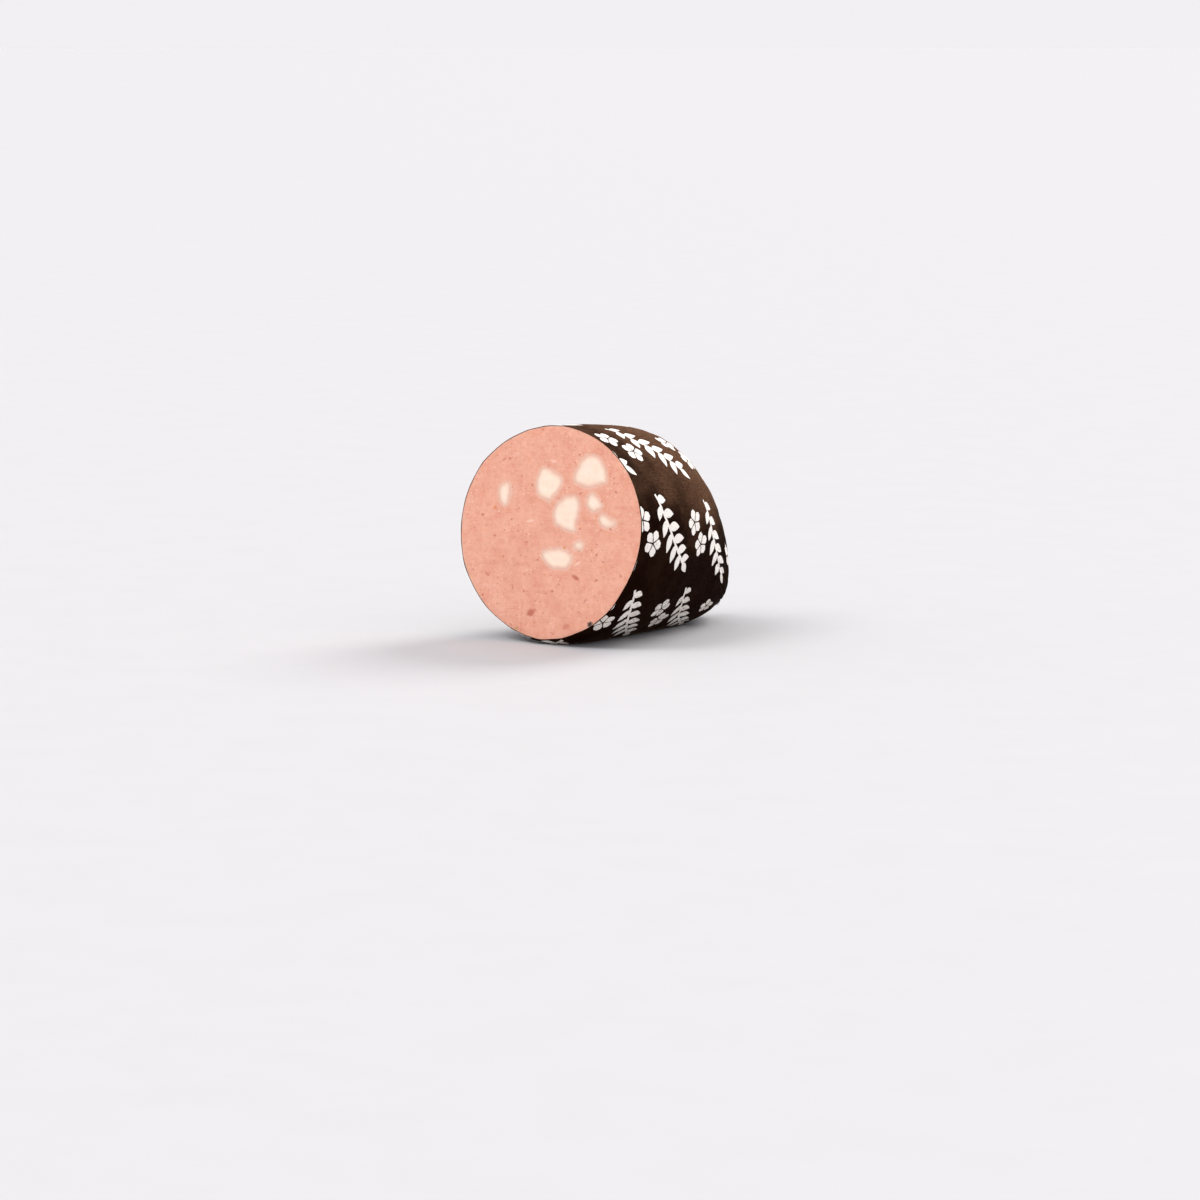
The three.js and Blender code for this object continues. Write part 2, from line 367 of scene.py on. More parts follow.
class Shader:
    """A shorthand for building one material's node tree."""

    def __init__(self, name: str) -> None:
        """Start a material with its Principled shader and output."""
        self.material = bpy.data.materials.new(name)
        self.material.use_nodes = True
        self.tree = self.material.node_tree
        self.tree.nodes.clear()
        self.surface = self.tree.nodes.new("ShaderNodeBsdfPrincipled")
        output = self.tree.nodes.new("ShaderNodeOutputMaterial")
        self.tree.links.new(self.surface.outputs["BSDF"], output.inputs["Surface"])

    def node(self, kind: str, **settings: object) -> bpy.types.Node:
        """Add a node and set its own properties."""
        made = self.tree.nodes.new(kind)
        for name, value in settings.items():
            setattr(made, name, value)
        return made

    def feed(self, socket: bpy.types.NodeSocket, value: object) -> None:
        """Link a socket to another, or set its value."""
        if isinstance(value, bpy.types.NodeSocket):
            self.tree.links.new(value, socket)
        else:
            socket.default_value = (*value, 1.0) if socket.type == "RGBA" else value

    def set(self, **values: object) -> None:
        """Set or link the Principled shader's inputs, by names with _ for spaces."""
        for name, value in values.items():
            self.feed(self.surface.inputs[name.replace("_", " ")], value)

    def place(
        self, stretch: tuple[float, float, float] = (1.0, 1.0, 1.0), attribute: str = ""
    ) -> bpy.types.NodeSocket:
        """Give coordinates in millimetres, from an attribute or from the object, stretched."""
        mapping = self.node("ShaderNodeMapping")
        if attribute:
            source = self.node("ShaderNodeAttribute", attribute_name=attribute).outputs["Vector"]
            scale = stretch
        else:
            source = self.node("ShaderNodeTexCoord").outputs["Object"]
            scale = tuple(value / MM for value in stretch)
        self.feed(mapping.inputs["Vector"], source)
        mapping.inputs["Scale"].default_value = scale
        return mapping.outputs["Vector"]

    def rise(self, axis: str, low: float, high: float, start: float = 0.0) -> bpy.types.NodeSocket:
        """Give a share that grows from a start to 1 between two places (mm) on an axis."""
        split = self.node("ShaderNodeSeparateXYZ")
        self.feed(split.inputs[0], self.place())
        return self.spread(split.outputs[axis], low, high, start)

    def number(self, attribute: str) -> bpy.types.NodeSocket:
        """Give a stored number."""
        return self.node("ShaderNodeAttribute", attribute_name=attribute).outputs["Fac"]

    def noise(
        self, where: bpy.types.NodeSocket, scale: float, detail: float = 3.0, rough: float = 0.55
    ) -> bpy.types.NodeSocket:
        """Give a noise from 0 to 1."""
        made = self.node("ShaderNodeTexNoise")
        self.feed(made.inputs["Vector"], where)
        self.feed(made.inputs["Scale"], scale)
        self.feed(made.inputs["Detail"], detail)
        self.feed(made.inputs["Roughness"], rough)
        return made.outputs["Fac"]

    def cells(self, where: bpy.types.NodeSocket, scale: float) -> bpy.types.Node:
        """Give a Voronoi node, for specks."""
        made = self.node("ShaderNodeTexVoronoi")
        self.feed(made.inputs["Vector"], where)
        self.feed(made.inputs["Scale"], scale)
        return made

    def math(self, how: str, one: object, two: object = 0.0) -> bpy.types.NodeSocket:
        """Work out one sum."""
        made = self.node("ShaderNodeMath", operation=how)
        self.feed(made.inputs[0], one)
        self.feed(made.inputs[1], two)
        return made.outputs[0]

    def spread(
        self, value: object, low: float, high: float, start: float = 0.0, end: float = 1.0
    ) -> bpy.types.NodeSocket:
        """Map low..high smoothly to start..end."""
        made = self.node("ShaderNodeMapRange", interpolation_type="SMOOTHSTEP")
        for socket, given in zip(made.inputs, (value, low, high, start, end)):
            self.feed(socket, given)
        return made.outputs[0]

    def mix(self, share: object, one: object, two: object) -> bpy.types.NodeSocket:
        """Blend two colours."""
        made = self.node("ShaderNodeMix", data_type="RGBA")
        self.feed(made.inputs[0], share)
        self.feed(made.inputs[6], one)
        self.feed(made.inputs[7], two)
        return made.outputs[2]

    def bump(
        self, height: object, depth: float, under: bpy.types.NodeSocket | None = None
    ) -> bpy.types.NodeSocket:
        """Give a normal from a height, depth millimetres deep, on top of another bump."""
        made = self.node("ShaderNodeBump")
        made.inputs["Distance"].default_value = depth * MM
        made.inputs["Strength"].default_value = 1.0
        self.feed(made.inputs["Height"], height)
        if under is not None:
            self.feed(made.inputs["Normal"], under)
        return made.outputs["Normal"]


class Fleck(NamedTuple):
    """A coloured fleck in the cut meat, in face coordinates."""

    right: float
    up: float
    half_width: float
    half_height: float
    turn: float
    colour: Colour
    strength: float


RED = (0.42, 0.07, 0.04)
RUST = (0.50, 0.125, 0.07)
ORANGE = (0.66, 0.23, 0.055)
TAN = (0.52, 0.30, 0.14)
CREAM = (0.92, 0.66, 0.53)
# painted shade: the near-black of the small nick at the rim
NICK_SHADE = (0.016, 0.009, 0.007)

FLECKS = (
    Fleck(-8, -38, 2.6, 1.7, 20, RUST, 0.85),
    Fleck(17.5, -19.5, 2.4, 0.9, -25, RUST, 0.8),
    Fleck(-33.5, 10, 1.0, 0.8, 0, ORANGE, 0.8),
    Fleck(9.5, -6, 0.8, 0.9, 0, ORANGE, 0.7),
    Fleck(-16, -46, 1.3, 0.8, 10, TAN, 0.75),
    Fleck(13.5, -43, 2.2, 1.3, 15, RUST, 0.45),
    Fleck(-41, 6, 0.8, 0.7, 0, RED, 0.6),
    Fleck(-23, 5, 0.7, 0.5, 30, RED, 0.6),
    Fleck(-12, 22, 0.6, 0.6, 0, RED, 0.6),
    Fleck(17, 20, 0.7, 0.5, 0, RED, 0.55),
    Fleck(15, 38, 0.6, 0.6, 0, RED, 0.5),
    Fleck(-6, -13, 0.7, 0.5, 0, RED, 0.6),
    Fleck(29, -8, 0.8, 0.5, 40, RED, 0.6),
    Fleck(4, -27, 0.7, 0.6, 0, RED, 0.6),
    Fleck(-38, -32, 0.8, 0.6, 0, RED, 0.55),
    Fleck(33, -11, 0.9, 0.5, 0, RED, 0.5),
    Fleck(-12, 5, 2.6, 0.7, 12, CREAM, 0.5),
    Fleck(0, 34, 2.2, 0.7, -8, CREAM, 0.5),
    Fleck(18, -13, 1.8, 0.7, 25, CREAM, 0.5),
    Fleck(-36, -22, 1.6, 0.6, -30, RUST, 0.5),
    Fleck(24, -30, 1.7, 0.5, 60, RUST, 0.45),
    Fleck(-30, 33, 1.2, 0.6, 15, RUST, 0.5),
    Fleck(-20, -27, 1.5, 0.5, -70, RED, 0.45),
    Fleck(38, 22, 1.2, 0.6, -15, RED, 0.45),
    # painted shade: a near-black spot in the small nick at the rim
    Fleck(27.5, -40.6, 1.7, 1.1, 35, NICK_SHADE, 0.95),
)


@dataclass(frozen=True)
class MeatFinish:
    """Moist, fine-grained pink paste with streaks, grain and flecks."""

    base: Colour = (0.755, 0.337, 0.232)
    pale: Colour = (0.825, 0.430, 0.312)
    deep: Colour = (0.690, 0.262, 0.170)
    speck: Colour = (0.50, 0.105, 0.062)
    pale_speck: Colour = (0.93, 0.66, 0.53)
    bare_cells: float = 0.72

    @property
    def specks(self) -> tuple[tuple[float, Colour, float, float], ...]:
        """The scattered specks: cells per millimetre, tone, size in cells, and strength."""
        return (
            (0.16, self.speck, 0.17, 0.60),
            (0.38, self.speck, 0.20, 0.75),
            (0.9, self.speck, 0.20, 0.60),
            (0.42, self.pale_speck, 0.26, 0.55),
            (1.15, self.pale_speck, 0.26, 0.85),
        )

    def make(self) -> bpy.types.Material:
        """Build the material; it reads the face coordinates and the distance to the fat."""
        use = Shader("cut_meat_finish")
        flat = use.place(attribute="face_mm")
        streaky = use.place((0.09, 1.0, 1.0), "face_mm")
        colour = use.mix(use.spread(use.noise(flat, 0.09, 4, 0.6), 0.3, 0.7), self.base, self.pale)
        mottle = use.spread(use.noise(flat, 0.42, 5, 0.68), 0.44, 0.68, 0, 0.5)
        colour = use.mix(mottle, colour, self.deep)
        streaks = use.spread(use.noise(streaky, 0.75, 4, 0.6), 0.46, 0.7, 0, 0.30)
        colour = use.mix(streaks, colour, self.pale)
        grain = use.noise(flat, 1.9, 5, 0.7)
        colour = use.mix(use.spread(grain, 0.5, 0.75, 0, 0.42), colour, self.pale)
        colour = use.mix(use.spread(grain, 0.44, 0.25, 0, 0.4), colour, self.deep)
        halo = use.spread(use.number("border_mm"), 0.0, 1.5, 0.38, 0.0)
        colour = use.mix(halo, colour, self.pale_speck)
        uneven = use.spread(use.noise(flat, 1.3, 3, 0.6), 0.3, 0.7, -0.09, 0.09)
        for scale, tone, size, share in self.specks:
            cells = use.cells(use.place((1.0, 1.45, 1.0), "face_mm"), scale)
            chosen = use.math("GREATER_THAN", self.chance(use, cells), self.bare_cells)
            gap = use.math("ADD", cells.outputs["Distance"], uneven)
            near = use.math("MULTIPLY", chosen, use.spread(gap, size, size * 0.4))
            colour = use.mix(use.math("MULTIPLY", near, share), colour, tone)
        colour = self.flecked(use, flat, colour)
        wet = use.noise(flat, 0.5, 4, 0.6)
        lines = use.bump(use.noise(streaky, 1.6, 3, 0.6), 0.10)
        pores = use.bump(grain, 0.16, lines)
        use.set(
            Base_Color=colour,
            Roughness=use.spread(wet, 0.3, 0.7, 0.42, 0.6),
            Normal=use.bump(use.noise(flat, 5.5, 3, 0.7), 0.05, pores),
            Subsurface_Weight=0.22,
            Subsurface_Radius=(1.0, 0.35, 0.2),
            Subsurface_Scale=0.0025,
            Specular_IOR_Level=0.4,
        )
        return use.material

    @staticmethod
    def chance(use: Shader, cells: bpy.types.Node) -> bpy.types.NodeSocket:
        """Give each cell its own number from 0 to 1."""
        split = use.node("ShaderNodeSeparateColor")
        use.feed(split.inputs[0], cells.outputs["Color"])
        return split.outputs[0]

    @staticmethod
    def flecked(use: Shader, flat: bpy.types.NodeSocket, colour: object) -> object:
        """Lay the flecks, with ragged edges, over a colour."""
        ragged = use.noise(flat, 0.9, 4, 0.7)
        for fleck in FLECKS:
            mapping = use.node("ShaderNodeMapping", vector_type="TEXTURE")
            use.feed(mapping.inputs["Vector"], flat)
            mapping.inputs["Location"].default_value = (fleck.right, fleck.up, 0)
            mapping.inputs["Rotation"].default_value = (0, 0, math.radians(fleck.turn))
            mapping.inputs["Scale"].default_value = (fleck.half_width, fleck.half_height, 9)
            reach = use.node("ShaderNodeVectorMath", operation="LENGTH")
            use.feed(reach.inputs[0], mapping.outputs["Vector"])
            edge = use.math("ADD", reach.outputs["Value"], use.math("MULTIPLY", ragged, 1.3))
            share = use.spread(edge, 2.0, 1.15, 0, fleck.strength)
            colour = use.mix(share, colour, fleck.colour)
        return colour


@dataclass(frozen=True)
class FatFinish:
    """Smooth, waxy back fat, pinker and blurred towards the meat."""

    base: Colour = (0.93, 0.745, 0.610)
    warm: Colour = (0.90, 0.650, 0.510)
    edge: Colour = (0.825, 0.450, 0.335)

    def make(self) -> bpy.types.Material:
        """Build the material; it reads the face coordinates and the distance to the border."""
        use = Shader("back_fat_finish")
        flat = use.place(attribute="face_mm")
        cloudy = use.spread(use.noise(flat, 0.22, 4, 0.6), 0.35, 0.75)
        colour = use.mix(use.math("MULTIPLY", cloudy, 0.55), self.base, self.warm)
        threads = use.noise(use.place((0.5, 1.4, 1.0), "face_mm"), 0.8, 3, 0.6)
        colour = use.mix(use.spread(threads, 0.58, 0.7, 0, 0.35), colour, self.warm)
        ragged = use.math("MULTIPLY", use.noise(flat, 1.1, 4, 0.65), 0.9)
        border = use.math("SUBTRACT", use.number("border_mm"), ragged)
        colour = use.mix(use.spread(border, -0.9, 2.3, 1.0, 0.0), colour, self.edge)
        use.set(
            Base_Color=colour,
            Roughness=use.spread(use.noise(flat, 0.6, 3), 0.3, 0.7, 0.36, 0.52),
            Normal=use.bump(use.noise(flat, 1.5, 4, 0.6), 0.12),
            Subsurface_Weight=0.35,
            Subsurface_Radius=(1.0, 0.6, 0.42),
            Subsurface_Scale=0.004,
            Specular_IOR_Level=0.45,
        )
        return use.material


@dataclass(frozen=True)
class CasingFinish:
    """Matte fibrous black-brown casing, with a painted warm-brown sheen on its upper and back
    parts.
    """

    base: Colour = (0.0080, 0.0024, 0.0012)
    faded: Colour = (0.024, 0.0100, 0.0052)
    bare: Colour = (0.0025, 0.0010, 0.0006)
    # painted sheen: the warm brown that grazing light gives the casing's top
    painted_sheen_brown: Colour = (0.138, 0.068, 0.038)

    def make(self) -> bpy.types.Material:
        """Build the material, on object coordinates, with fibres that run along the log."""
        use = Shader("fibrous_casing_finish")
        solid = use.place()
        fibres = use.noise(use.place((1.0, 0.16, 1.0)), 1.5, 5, 0.7)
        cross = use.noise(use.place((0.5, 1.4, 0.35)), 1.1, 4, 0.65)
        long_share = use.math("MULTIPLY", fibres, 0.65)
        weave = use.math("ADD", long_share, use.math("MULTIPLY", cross, 0.35))
        patches = use.spread(use.noise(solid, 0.06, 4, 0.6), 0.4, 0.68)
        colour = use.mix(use.math("MULTIPLY", patches, 0.5), self.base, self.faded)
        colour = use.mix(use.spread(weave, 0.5, 0.7, 0, 0.65), colour, self.faded)
        colour = use.mix(use.spread(weave, 0.46, 0.3, 0, 0.7), colour, self.bare)
        # painted sheen: warm brown laid over the upper and back parts, where grazing light
        # brightens the casing; noise breaks up its edge
        painted_sheen_height = use.math("MULTIPLY", use.rise("Z", 24, 96), use.rise("Y", -70, 34, 0.30))
        fleecy = use.spread(weave, 0.34, 0.6, 0.35, 1.0)
        clouds = use.spread(use.noise(solid, 0.04, 4, 0.6), 0.32, 0.68, -0.13, 0.13)
        painted_sheen_share = use.spread(use.math("ADD", painted_sheen_height, clouds), 0.1, 0.72)
        colour = use.mix(use.math("MULTIPLY", painted_sheen_share, fleecy), colour, self.painted_sheen_brown)
        grit = use.noise(solid, 3.6, 3, 0.7)
        use.set(
            Base_Color=colour,
            Roughness=use.spread(weave, 0.35, 0.65, 0.72, 0.52),
            Normal=use.bump(grit, 0.05, use.bump(weave, 0.22)),
            Specular_IOR_Level=0.004,
            Specular_Tint=(1.0, 0.74, 0.55),
            Sheen_Weight=0.12,
            Sheen_Roughness=0.11,
            Sheen_Tint=(1.0, 0.62, 0.38),
        )
        return use.material


@dataclass(frozen=True)
class InkFinish:
    """Worn white ink: chalky, with the casing showing through in specks; greyer and more worn
    towards the bottom, part wear and part painted shade.
    """

    fresh: Colour = (0.96, 0.915, 0.86)
    wear_and_shade: Colour = (0.74, 0.625, 0.53)
    worn: Colour = (0.07, 0.05, 0.042)

    def make(self) -> bpy.types.Material:
        """Build the material, on object coordinates."""
        use = Shader("worn_ink_finish")
        solid = use.place()
        # painted shade, partly real wear: the ink turns greyer and warmer towards the bottom,
        # where less light falls
        shade_below = use.math("SUBTRACT", 1.0, use.rise("Z", 8, 46))
        wear_and_shade = use.spread(use.noise(solid, 0.12, 4, 0.6), 0.42, 0.66, 0.1, 0.6)
        colour = use.mix(use.math("MULTIPLY", wear_and_shade, shade_below), self.fresh, self.wear_and_shade)
        patchy = use.spread(use.noise(solid, 0.05, 2), 0.3, 0.7, 0.0, 0.05)
        grain = use.math("ADD", use.noise(use.place((1.0, 0.35, 1.0)), 1.7, 5, 0.75), patchy)
        # painted shade as well: more worn specks towards the bottom
        grain = use.math("ADD", grain, use.math("MULTIPLY", shade_below, 0.06))
        colour = use.mix(use.spread(grain, 0.61, 0.69, 0, 0.8), colour, self.worn)
        use.set(
            Base_Color=colour,
            Roughness=use.spread(grain, 0.3, 0.7, 0.55, 0.8),
            Normal=use.bump(grain, 0.05),
            Specular_IOR_Level=0.4,
        )
        return use.material


@dataclass(frozen=True)
class MetalFinish:
    """Soft brushed aluminium, scuffed where it was crimped."""

    base: Colour = (0.70, 0.71, 0.72)
    dark: Colour = (0.42, 0.43, 0.45)

    def make(self) -> bpy.types.Material:
        """Build the material, brushed round the neck."""
        use = Shader("crimped_aluminium_finish")
        brushed = use.noise(use.place((0.4, 3.2, 0.4)), 1.6, 4, 0.7)
        scuffs = use.spread(use.noise(use.place(), 0.8, 4, 0.7), 0.5, 0.7)
        colour = use.mix(use.math("MULTIPLY", scuffs, 0.6), self.base, self.dark)
        use.set(
            Base_Color=colour,
            Metallic=1.0,
            Roughness=use.spread(brushed, 0.3, 0.7, 0.26, 0.46),
            Normal=use.bump(brushed, 0.03),
        )
        return use.material


# ---------------------------------------------------------------------------
# The casing
# ---------------------------------------------------------------------------


@dataclass
class Casing:
    """The printed bag: soft skin, cut rim, pleats gathered into the neck, and the tail.

    Lengths are in millimetres, stations run from the cut rim towards the tip.

    Attributes:
        around, body_rows, tail_rows, lining_rows: how fine the grid is.
        wall: how far the lining lies under the skin at the rim.
        swells: heights of the broad, middling and small unevenness of the skin.
        wrinkle_stations: where the long shallow wrinkles come in.
        calm_before: how far before the neck the unevenness dies away.
        floor_reach: heights between which the skin comes to rest flat.
        lining_end, lining_drop: how near to the tip the lining goes, and how far in.
        nick_place: where the knife nicked the rim, in face coordinates.
        tail_curl: rings that close the tail's end, as (share of the radius, how far back).
    """

    shape: LogShape
    around: int = 336
    body_rows: int = 112
    wall: float = 0.3
    pleats: int = 13
    fine_pleats: int = 47
    pleats_start: float = 58.0
    deepest_pleat: float = 1.7
    deepest_fine_pleat: float = 0.28
    swells: tuple[float, float, float] = (0.22, 0.10, 0.03)
    wrinkle_depth: float = 0.25
    wrinkle_stations: tuple[float, float] = (30.0, 85.0)
    calm_before: float = 12.0
    floor_reach: tuple[float, float] = (3.0, 0.3)
    rim_stations: tuple[float, ...] = (0.0, 0.35, 0.8)
    tail_rows: int = 17
    lining_rows: int = 30
    lining_end: float = 0.965
    lining_drop: float = 0.5
    lip_bulge: float = 0.06
    nick_place: tuple[float, float] = (28.5, -41.5)
    nick_depth: float = 1.1
    nick_width: float = 1.3
    tail_curl: tuple[tuple[float, float], ...] = (
        (0.93, -0.35), (0.78, -0.2), (0.5, 0.7), (0.24, 1.5)
    )
    ripples: tuple[Ripple, Ripple, Ripple] = field(
        default_factory=lambda: (Ripple(26, 11), Ripple(9, 12), Ripple(3.2, 13))
    )

    def stations(self) -> Array:
        """Give the stations of the rows, from the rim to the end of the tail."""
        quarter = np.arange(1, self.body_rows + 1) / self.body_rows * math.pi / 2
        body = self.shape.length * np.sin(quarter)
        end = self.shape.tail_start + self.shape.tail_length
        tail = np.linspace(self.shape.length, end, self.tail_rows + 1)[1:]
        return np.concatenate([self.rim_stations, body, tail])

    def angles(self) -> Array:
        """Give the angles round the log of the grid's columns."""
        return np.arange(self.around) / self.around * 2 * math.pi - math.pi / 2

    def gathering(self, station: Array) -> Array:
        """How far the skin is gathered at a station, from 0 to 1."""
        return smooth_step(self.pleats_start, self.shape.length + 2, station)

    def relief(self, station: Array, angle: Array, base: Array) -> Array:
        """Give how far the skin stands out of the plain shape, in millimetres.

        Args:
            station: stations along the log.
            angle: angles round it.
            base: the plain shape's points there.

        Returns:
            The relief at each point.
        """
        at = self.shape.section(station)
        radius = (at.half_width + (at.top - at.bottom) / 2) / 2
        broad, middling, small = (ripple(base) for ripple in self.ripples)
        gathered = self.gathering(station)
        soft = self.swells[0] * broad + self.swells[1] * middling + self.swells[2] * small
        wander = angle + 0.05 * np.sin(3 * angle + 1) + 0.03 * np.sin(7 * angle + 2 + station / 14)
        wander = wander + 0.02 * np.sin(station / 7 + 5 * angle)
        crease = (1 - np.abs(np.sin(self.pleats * wander))) ** 2.2
        share = 0.75 + 0.25 * np.sin(5 * angle + 0.7)
        pitch = 2 * math.pi * radius / (2 * self.pleats)
        deep = gathered**1.5 * np.minimum(self.deepest_pleat, 0.24 * pitch)
        fine = (1 - np.abs(np.sin(self.fine_pleats * wander + 2 * np.sin(4 * angle)))) ** 1.6
        fine_pitch = pitch * self.pleats / self.fine_pleats
        shallow = gathered * np.minimum(self.deepest_fine_pleat, 0.2 * fine_pitch)
        wrinkle = np.abs(np.sin(9.5 * angle + 0.8 * np.sin(station / 19) + 1.5)) ** 14
        here = smooth_step(*self.wrinkle_stations, station) * (1 - gathered) * self.wrinkle_depth
        calm_from = self.shape.length - self.calm_before
        calm = smooth_step(self.shape.length + 1, calm_from, station)
        return soft * calm - deep * crease * share - shallow * fine - wrinkle * here

    def skin(self, station: Array, angle: Array, inset: Array | float = 0.0) -> Array:
        """Give points of the soft skin, or at an inset under it."""
        base = self.shape.point(station, angle)
        rise = self.relief(station, angle, base)
        out = self.shape.normal(station, angle)
        points = base + out * (rise - inset)[..., None]
        near_floor = smooth_step(*self.floor_reach, base[..., 2])
        resting = base + out * (np.minimum(rise, 0) * (1 - near_floor) - inset)[..., None]
        points = points * (1 - near_floor[..., None]) + resting * near_floor[..., None]
        points[..., 2] = np.maximum(points[..., 2], np.maximum(inset, 0))
        return points

    def inner(self, station: Array, angle: Array, inset: float) -> Array:
        """Give points under the skin, deeper as the pleats grow."""
        base = self.shape.point(station, angle)
        out = self.shape.normal(station, angle)
        gathered = self.gathering(station)
        rise = self.relief(station, angle, base) * (1 - smooth_step(0.0, 0.25, gathered))
        near_floor = smooth_step(*self.floor_reach, base[..., 2])
        rise = rise * (1 - near_floor)
        deepest = self.deepest_pleat + self.lining_drop
        drop = inset + deepest * smooth_step(0.0, 0.3, gathered)
        points = base + out * (rise - drop)[..., None]
        points[..., 2] = np.maximum(points[..., 2], drop)
        return points

    def build(self) -> bpy.types.Object:
        """Build the closed skin: outside, tail end, rim and lining."""
        angle = self.angles()
        rows = [self.skin(np.full(self.around, s), angle) for s in self.stations()]
        rows[0] = self.ragged_rim(rows[0], angle)
        rows += self.tail_end(rows[-1])
        hub_out = rows[-1].mean(0)
        quarter = np.linspace(0.0, math.pi / 2, self.lining_rows)
        inside_stations = self.shape.length * np.sin(quarter) * self.lining_end
        lining = [self.inner(np.full(self.around, s), angle, self.wall) for s in inside_stations]
        lining[0] = self.skin(np.zeros(self.around), angle, self.wall)
        hub_in = lining[-1].mean(0)
        bulge = np.array([0, self.lip_bulge, 0])
        lips = [rows[0] * share + lining[0] * (1 - share) - bulge for share in (0.28, 0.72)]
        ordered = lining[::-1] + lips + rows
        points = np.concatenate([*ordered, [hub_in, hub_out]])
        rings = [np.arange(self.around) + k * self.around for k in range(len(ordered))]
        faces = grid_faces(rings)
        faces += fan_faces(rings[0], len(points) - 2, False)
        faces += fan_faces(rings[-1], len(points) - 1, True)
        points[:, 2] = np.maximum(points[:, 2], 0)
        piece = make_piece("casing_skin", self.shape, points, faces)
        piece.data.materials.append(CasingFinish().make())
        return report(piece, Slot.CASING, "casing")

    def ragged_rim(self, rim: Array, angle: Array) -> Array:
        """Let the knife's edge of the skin wander a little, with one small nick."""
        wander = 0.10 * np.sin(17 * angle + 1) + 0.08 * np.sin(31 * angle + 2)
        face = self.shape.face_coordinates(rim)
        gap = np.hypot(face[:, 0] - self.nick_place[0], face[:, 1] - self.nick_place[1])
        nick = self.nick_depth * np.exp(-((gap / self.nick_width) ** 2))
        return rim + np.stack([0 * angle, wander * 0.6 + nick, 0 * angle], -1)

    def tail_end(self, last: Array) -> list[Array]:
        """Turn the tail's ruffled end in on itself."""
        middle = last.mean(0)
        rings = []
        for share, back in self.tail_curl:
            ring = middle + (last - middle) * share
            ring[:, 1] = last[:, 1] * share + middle[1] * (1 - share) - back
            rings.append(ring)
        return rings


# ---------------------------------------------------------------------------
# The cut face: meat and fat cubes
# ---------------------------------------------------------------------------

# Each lardello: how deep it goes, and its corners on the cut face, in millimetres.
CUBES: tuple[tuple[float, tuple[tuple[float, float], ...]], ...] = (
    (8, ((-31, 22), (-26, 22.5), (-24.5, 17), (-26.5, 10.5), (-29.5, 11), (-32.5, 16))),
    (14, (
        (-7.5, 30.5), (-3.5, 31), (6, 27), (6.5, 24.5),
        (3, 18.5), (-1, 14.5), (-8.5, 17.5), (-10.5, 24),
    )),
    (15, (
        (18, 37.5), (24, 39), (27.5, 37.5), (32.5, 30),
        (32.5, 25), (19.5, 22.5), (13, 25.5), (12.5, 29),
    )),
    (14, (
        (9, 19), (15.5, 18.5), (17.5, 15), (15.5, 1.5),
        (11.5, 1.5), (2.5, 4.5), (1.5, 8.5), (3.5, 15),
    )),
    (9, (
        (24, 21), (26.5, 20.5), (31.5, 15.5), (29.5, 13.5),
        (25.5, 11), (21, 14), (21.5, 19.5),
    )),
    (8, ((30, 11.5), (33, 12), (35, 9.5), (40, 8.5), (37, 5), (33, 4.5), (30, 6), (28, 9))),
    (5, ((15, -2.5), (21, -2), (21.5, -6.5), (15, -7))),
    (12, (
        (-0.5, -7), (10.5, -6.5), (14.5, -9), (15, -12.5),
        (11.5, -16), (1.5, -16.5), (-3.5, -12.5), (-4, -9),
    )),
)


def rounded_outline(corners: Array, corner: float, step: float) -> Array:
    """Round an outline's corners off and sample it evenly.

    Args:
        corners: the outline's corners, in order.
        corner: how far along each side a corner starts to turn.
        step: the sampling distance.

    Returns:
        The sampled points, in order, the last not repeating the first.
    """
    steps, longest = 8, 0.45
    dense: list[Array] = []
    for before, here, after in zip(np.roll(corners, 1, 0), corners, np.roll(corners, -1, 0)):
        start = here + (before - here) * min(corner / np.linalg.norm(before - here), longest)
        end = here + (after - here) * min(corner / np.linalg.norm(after - here), longest)
        for share in np.linspace(0, 1, steps):
            rest = 1 - share
            dense.append(rest**2 * start + 2 * share * rest * here + share**2 * end)
    path = np.array([*dense, dense[0]])
    run = np.concatenate([[0], np.cumsum(np.linalg.norm(np.diff(path, axis=0), axis=1))])
    count = max(12, round(run[-1] / step))
    where = np.arange(count) / count * run[-1]
    return np.stack([np.interp(where, run, path[:, k]) for k in (0, 1)], -1)


def distance_to(points: Array, outline: Array) -> Array:
    """Give each point's distance to a closed outline."""
    start, side = outline, np.roll(outline, -1, 0) - outline
    away = points[:, None] - start[None]
    share = np.clip((away * side).sum(-1) / (side * side).sum(-1), 0, 1)
    return np.linalg.norm(away - share[..., None] * side, axis=-1).min(1)


def inside(points: Array, outline: Array) -> Array:
    """Say which points lie inside a closed outline."""
    one, two = outline, np.roll(outline, -1, 0)
    x, y = points[:, None, 0], points[:, None, 1]
    crosses = (one[:, 1] > y) != (two[:, 1] > y)
    rise = np.where(two[:, 1] == one[:, 1], 1e-12, two[:, 1] - one[:, 1])
    at = one[:, 0] + (y - one[:, 1]) / rise * (two[:, 0] - one[:, 0])
    return (crosses & (x < at)).sum(1) % 2 == 1


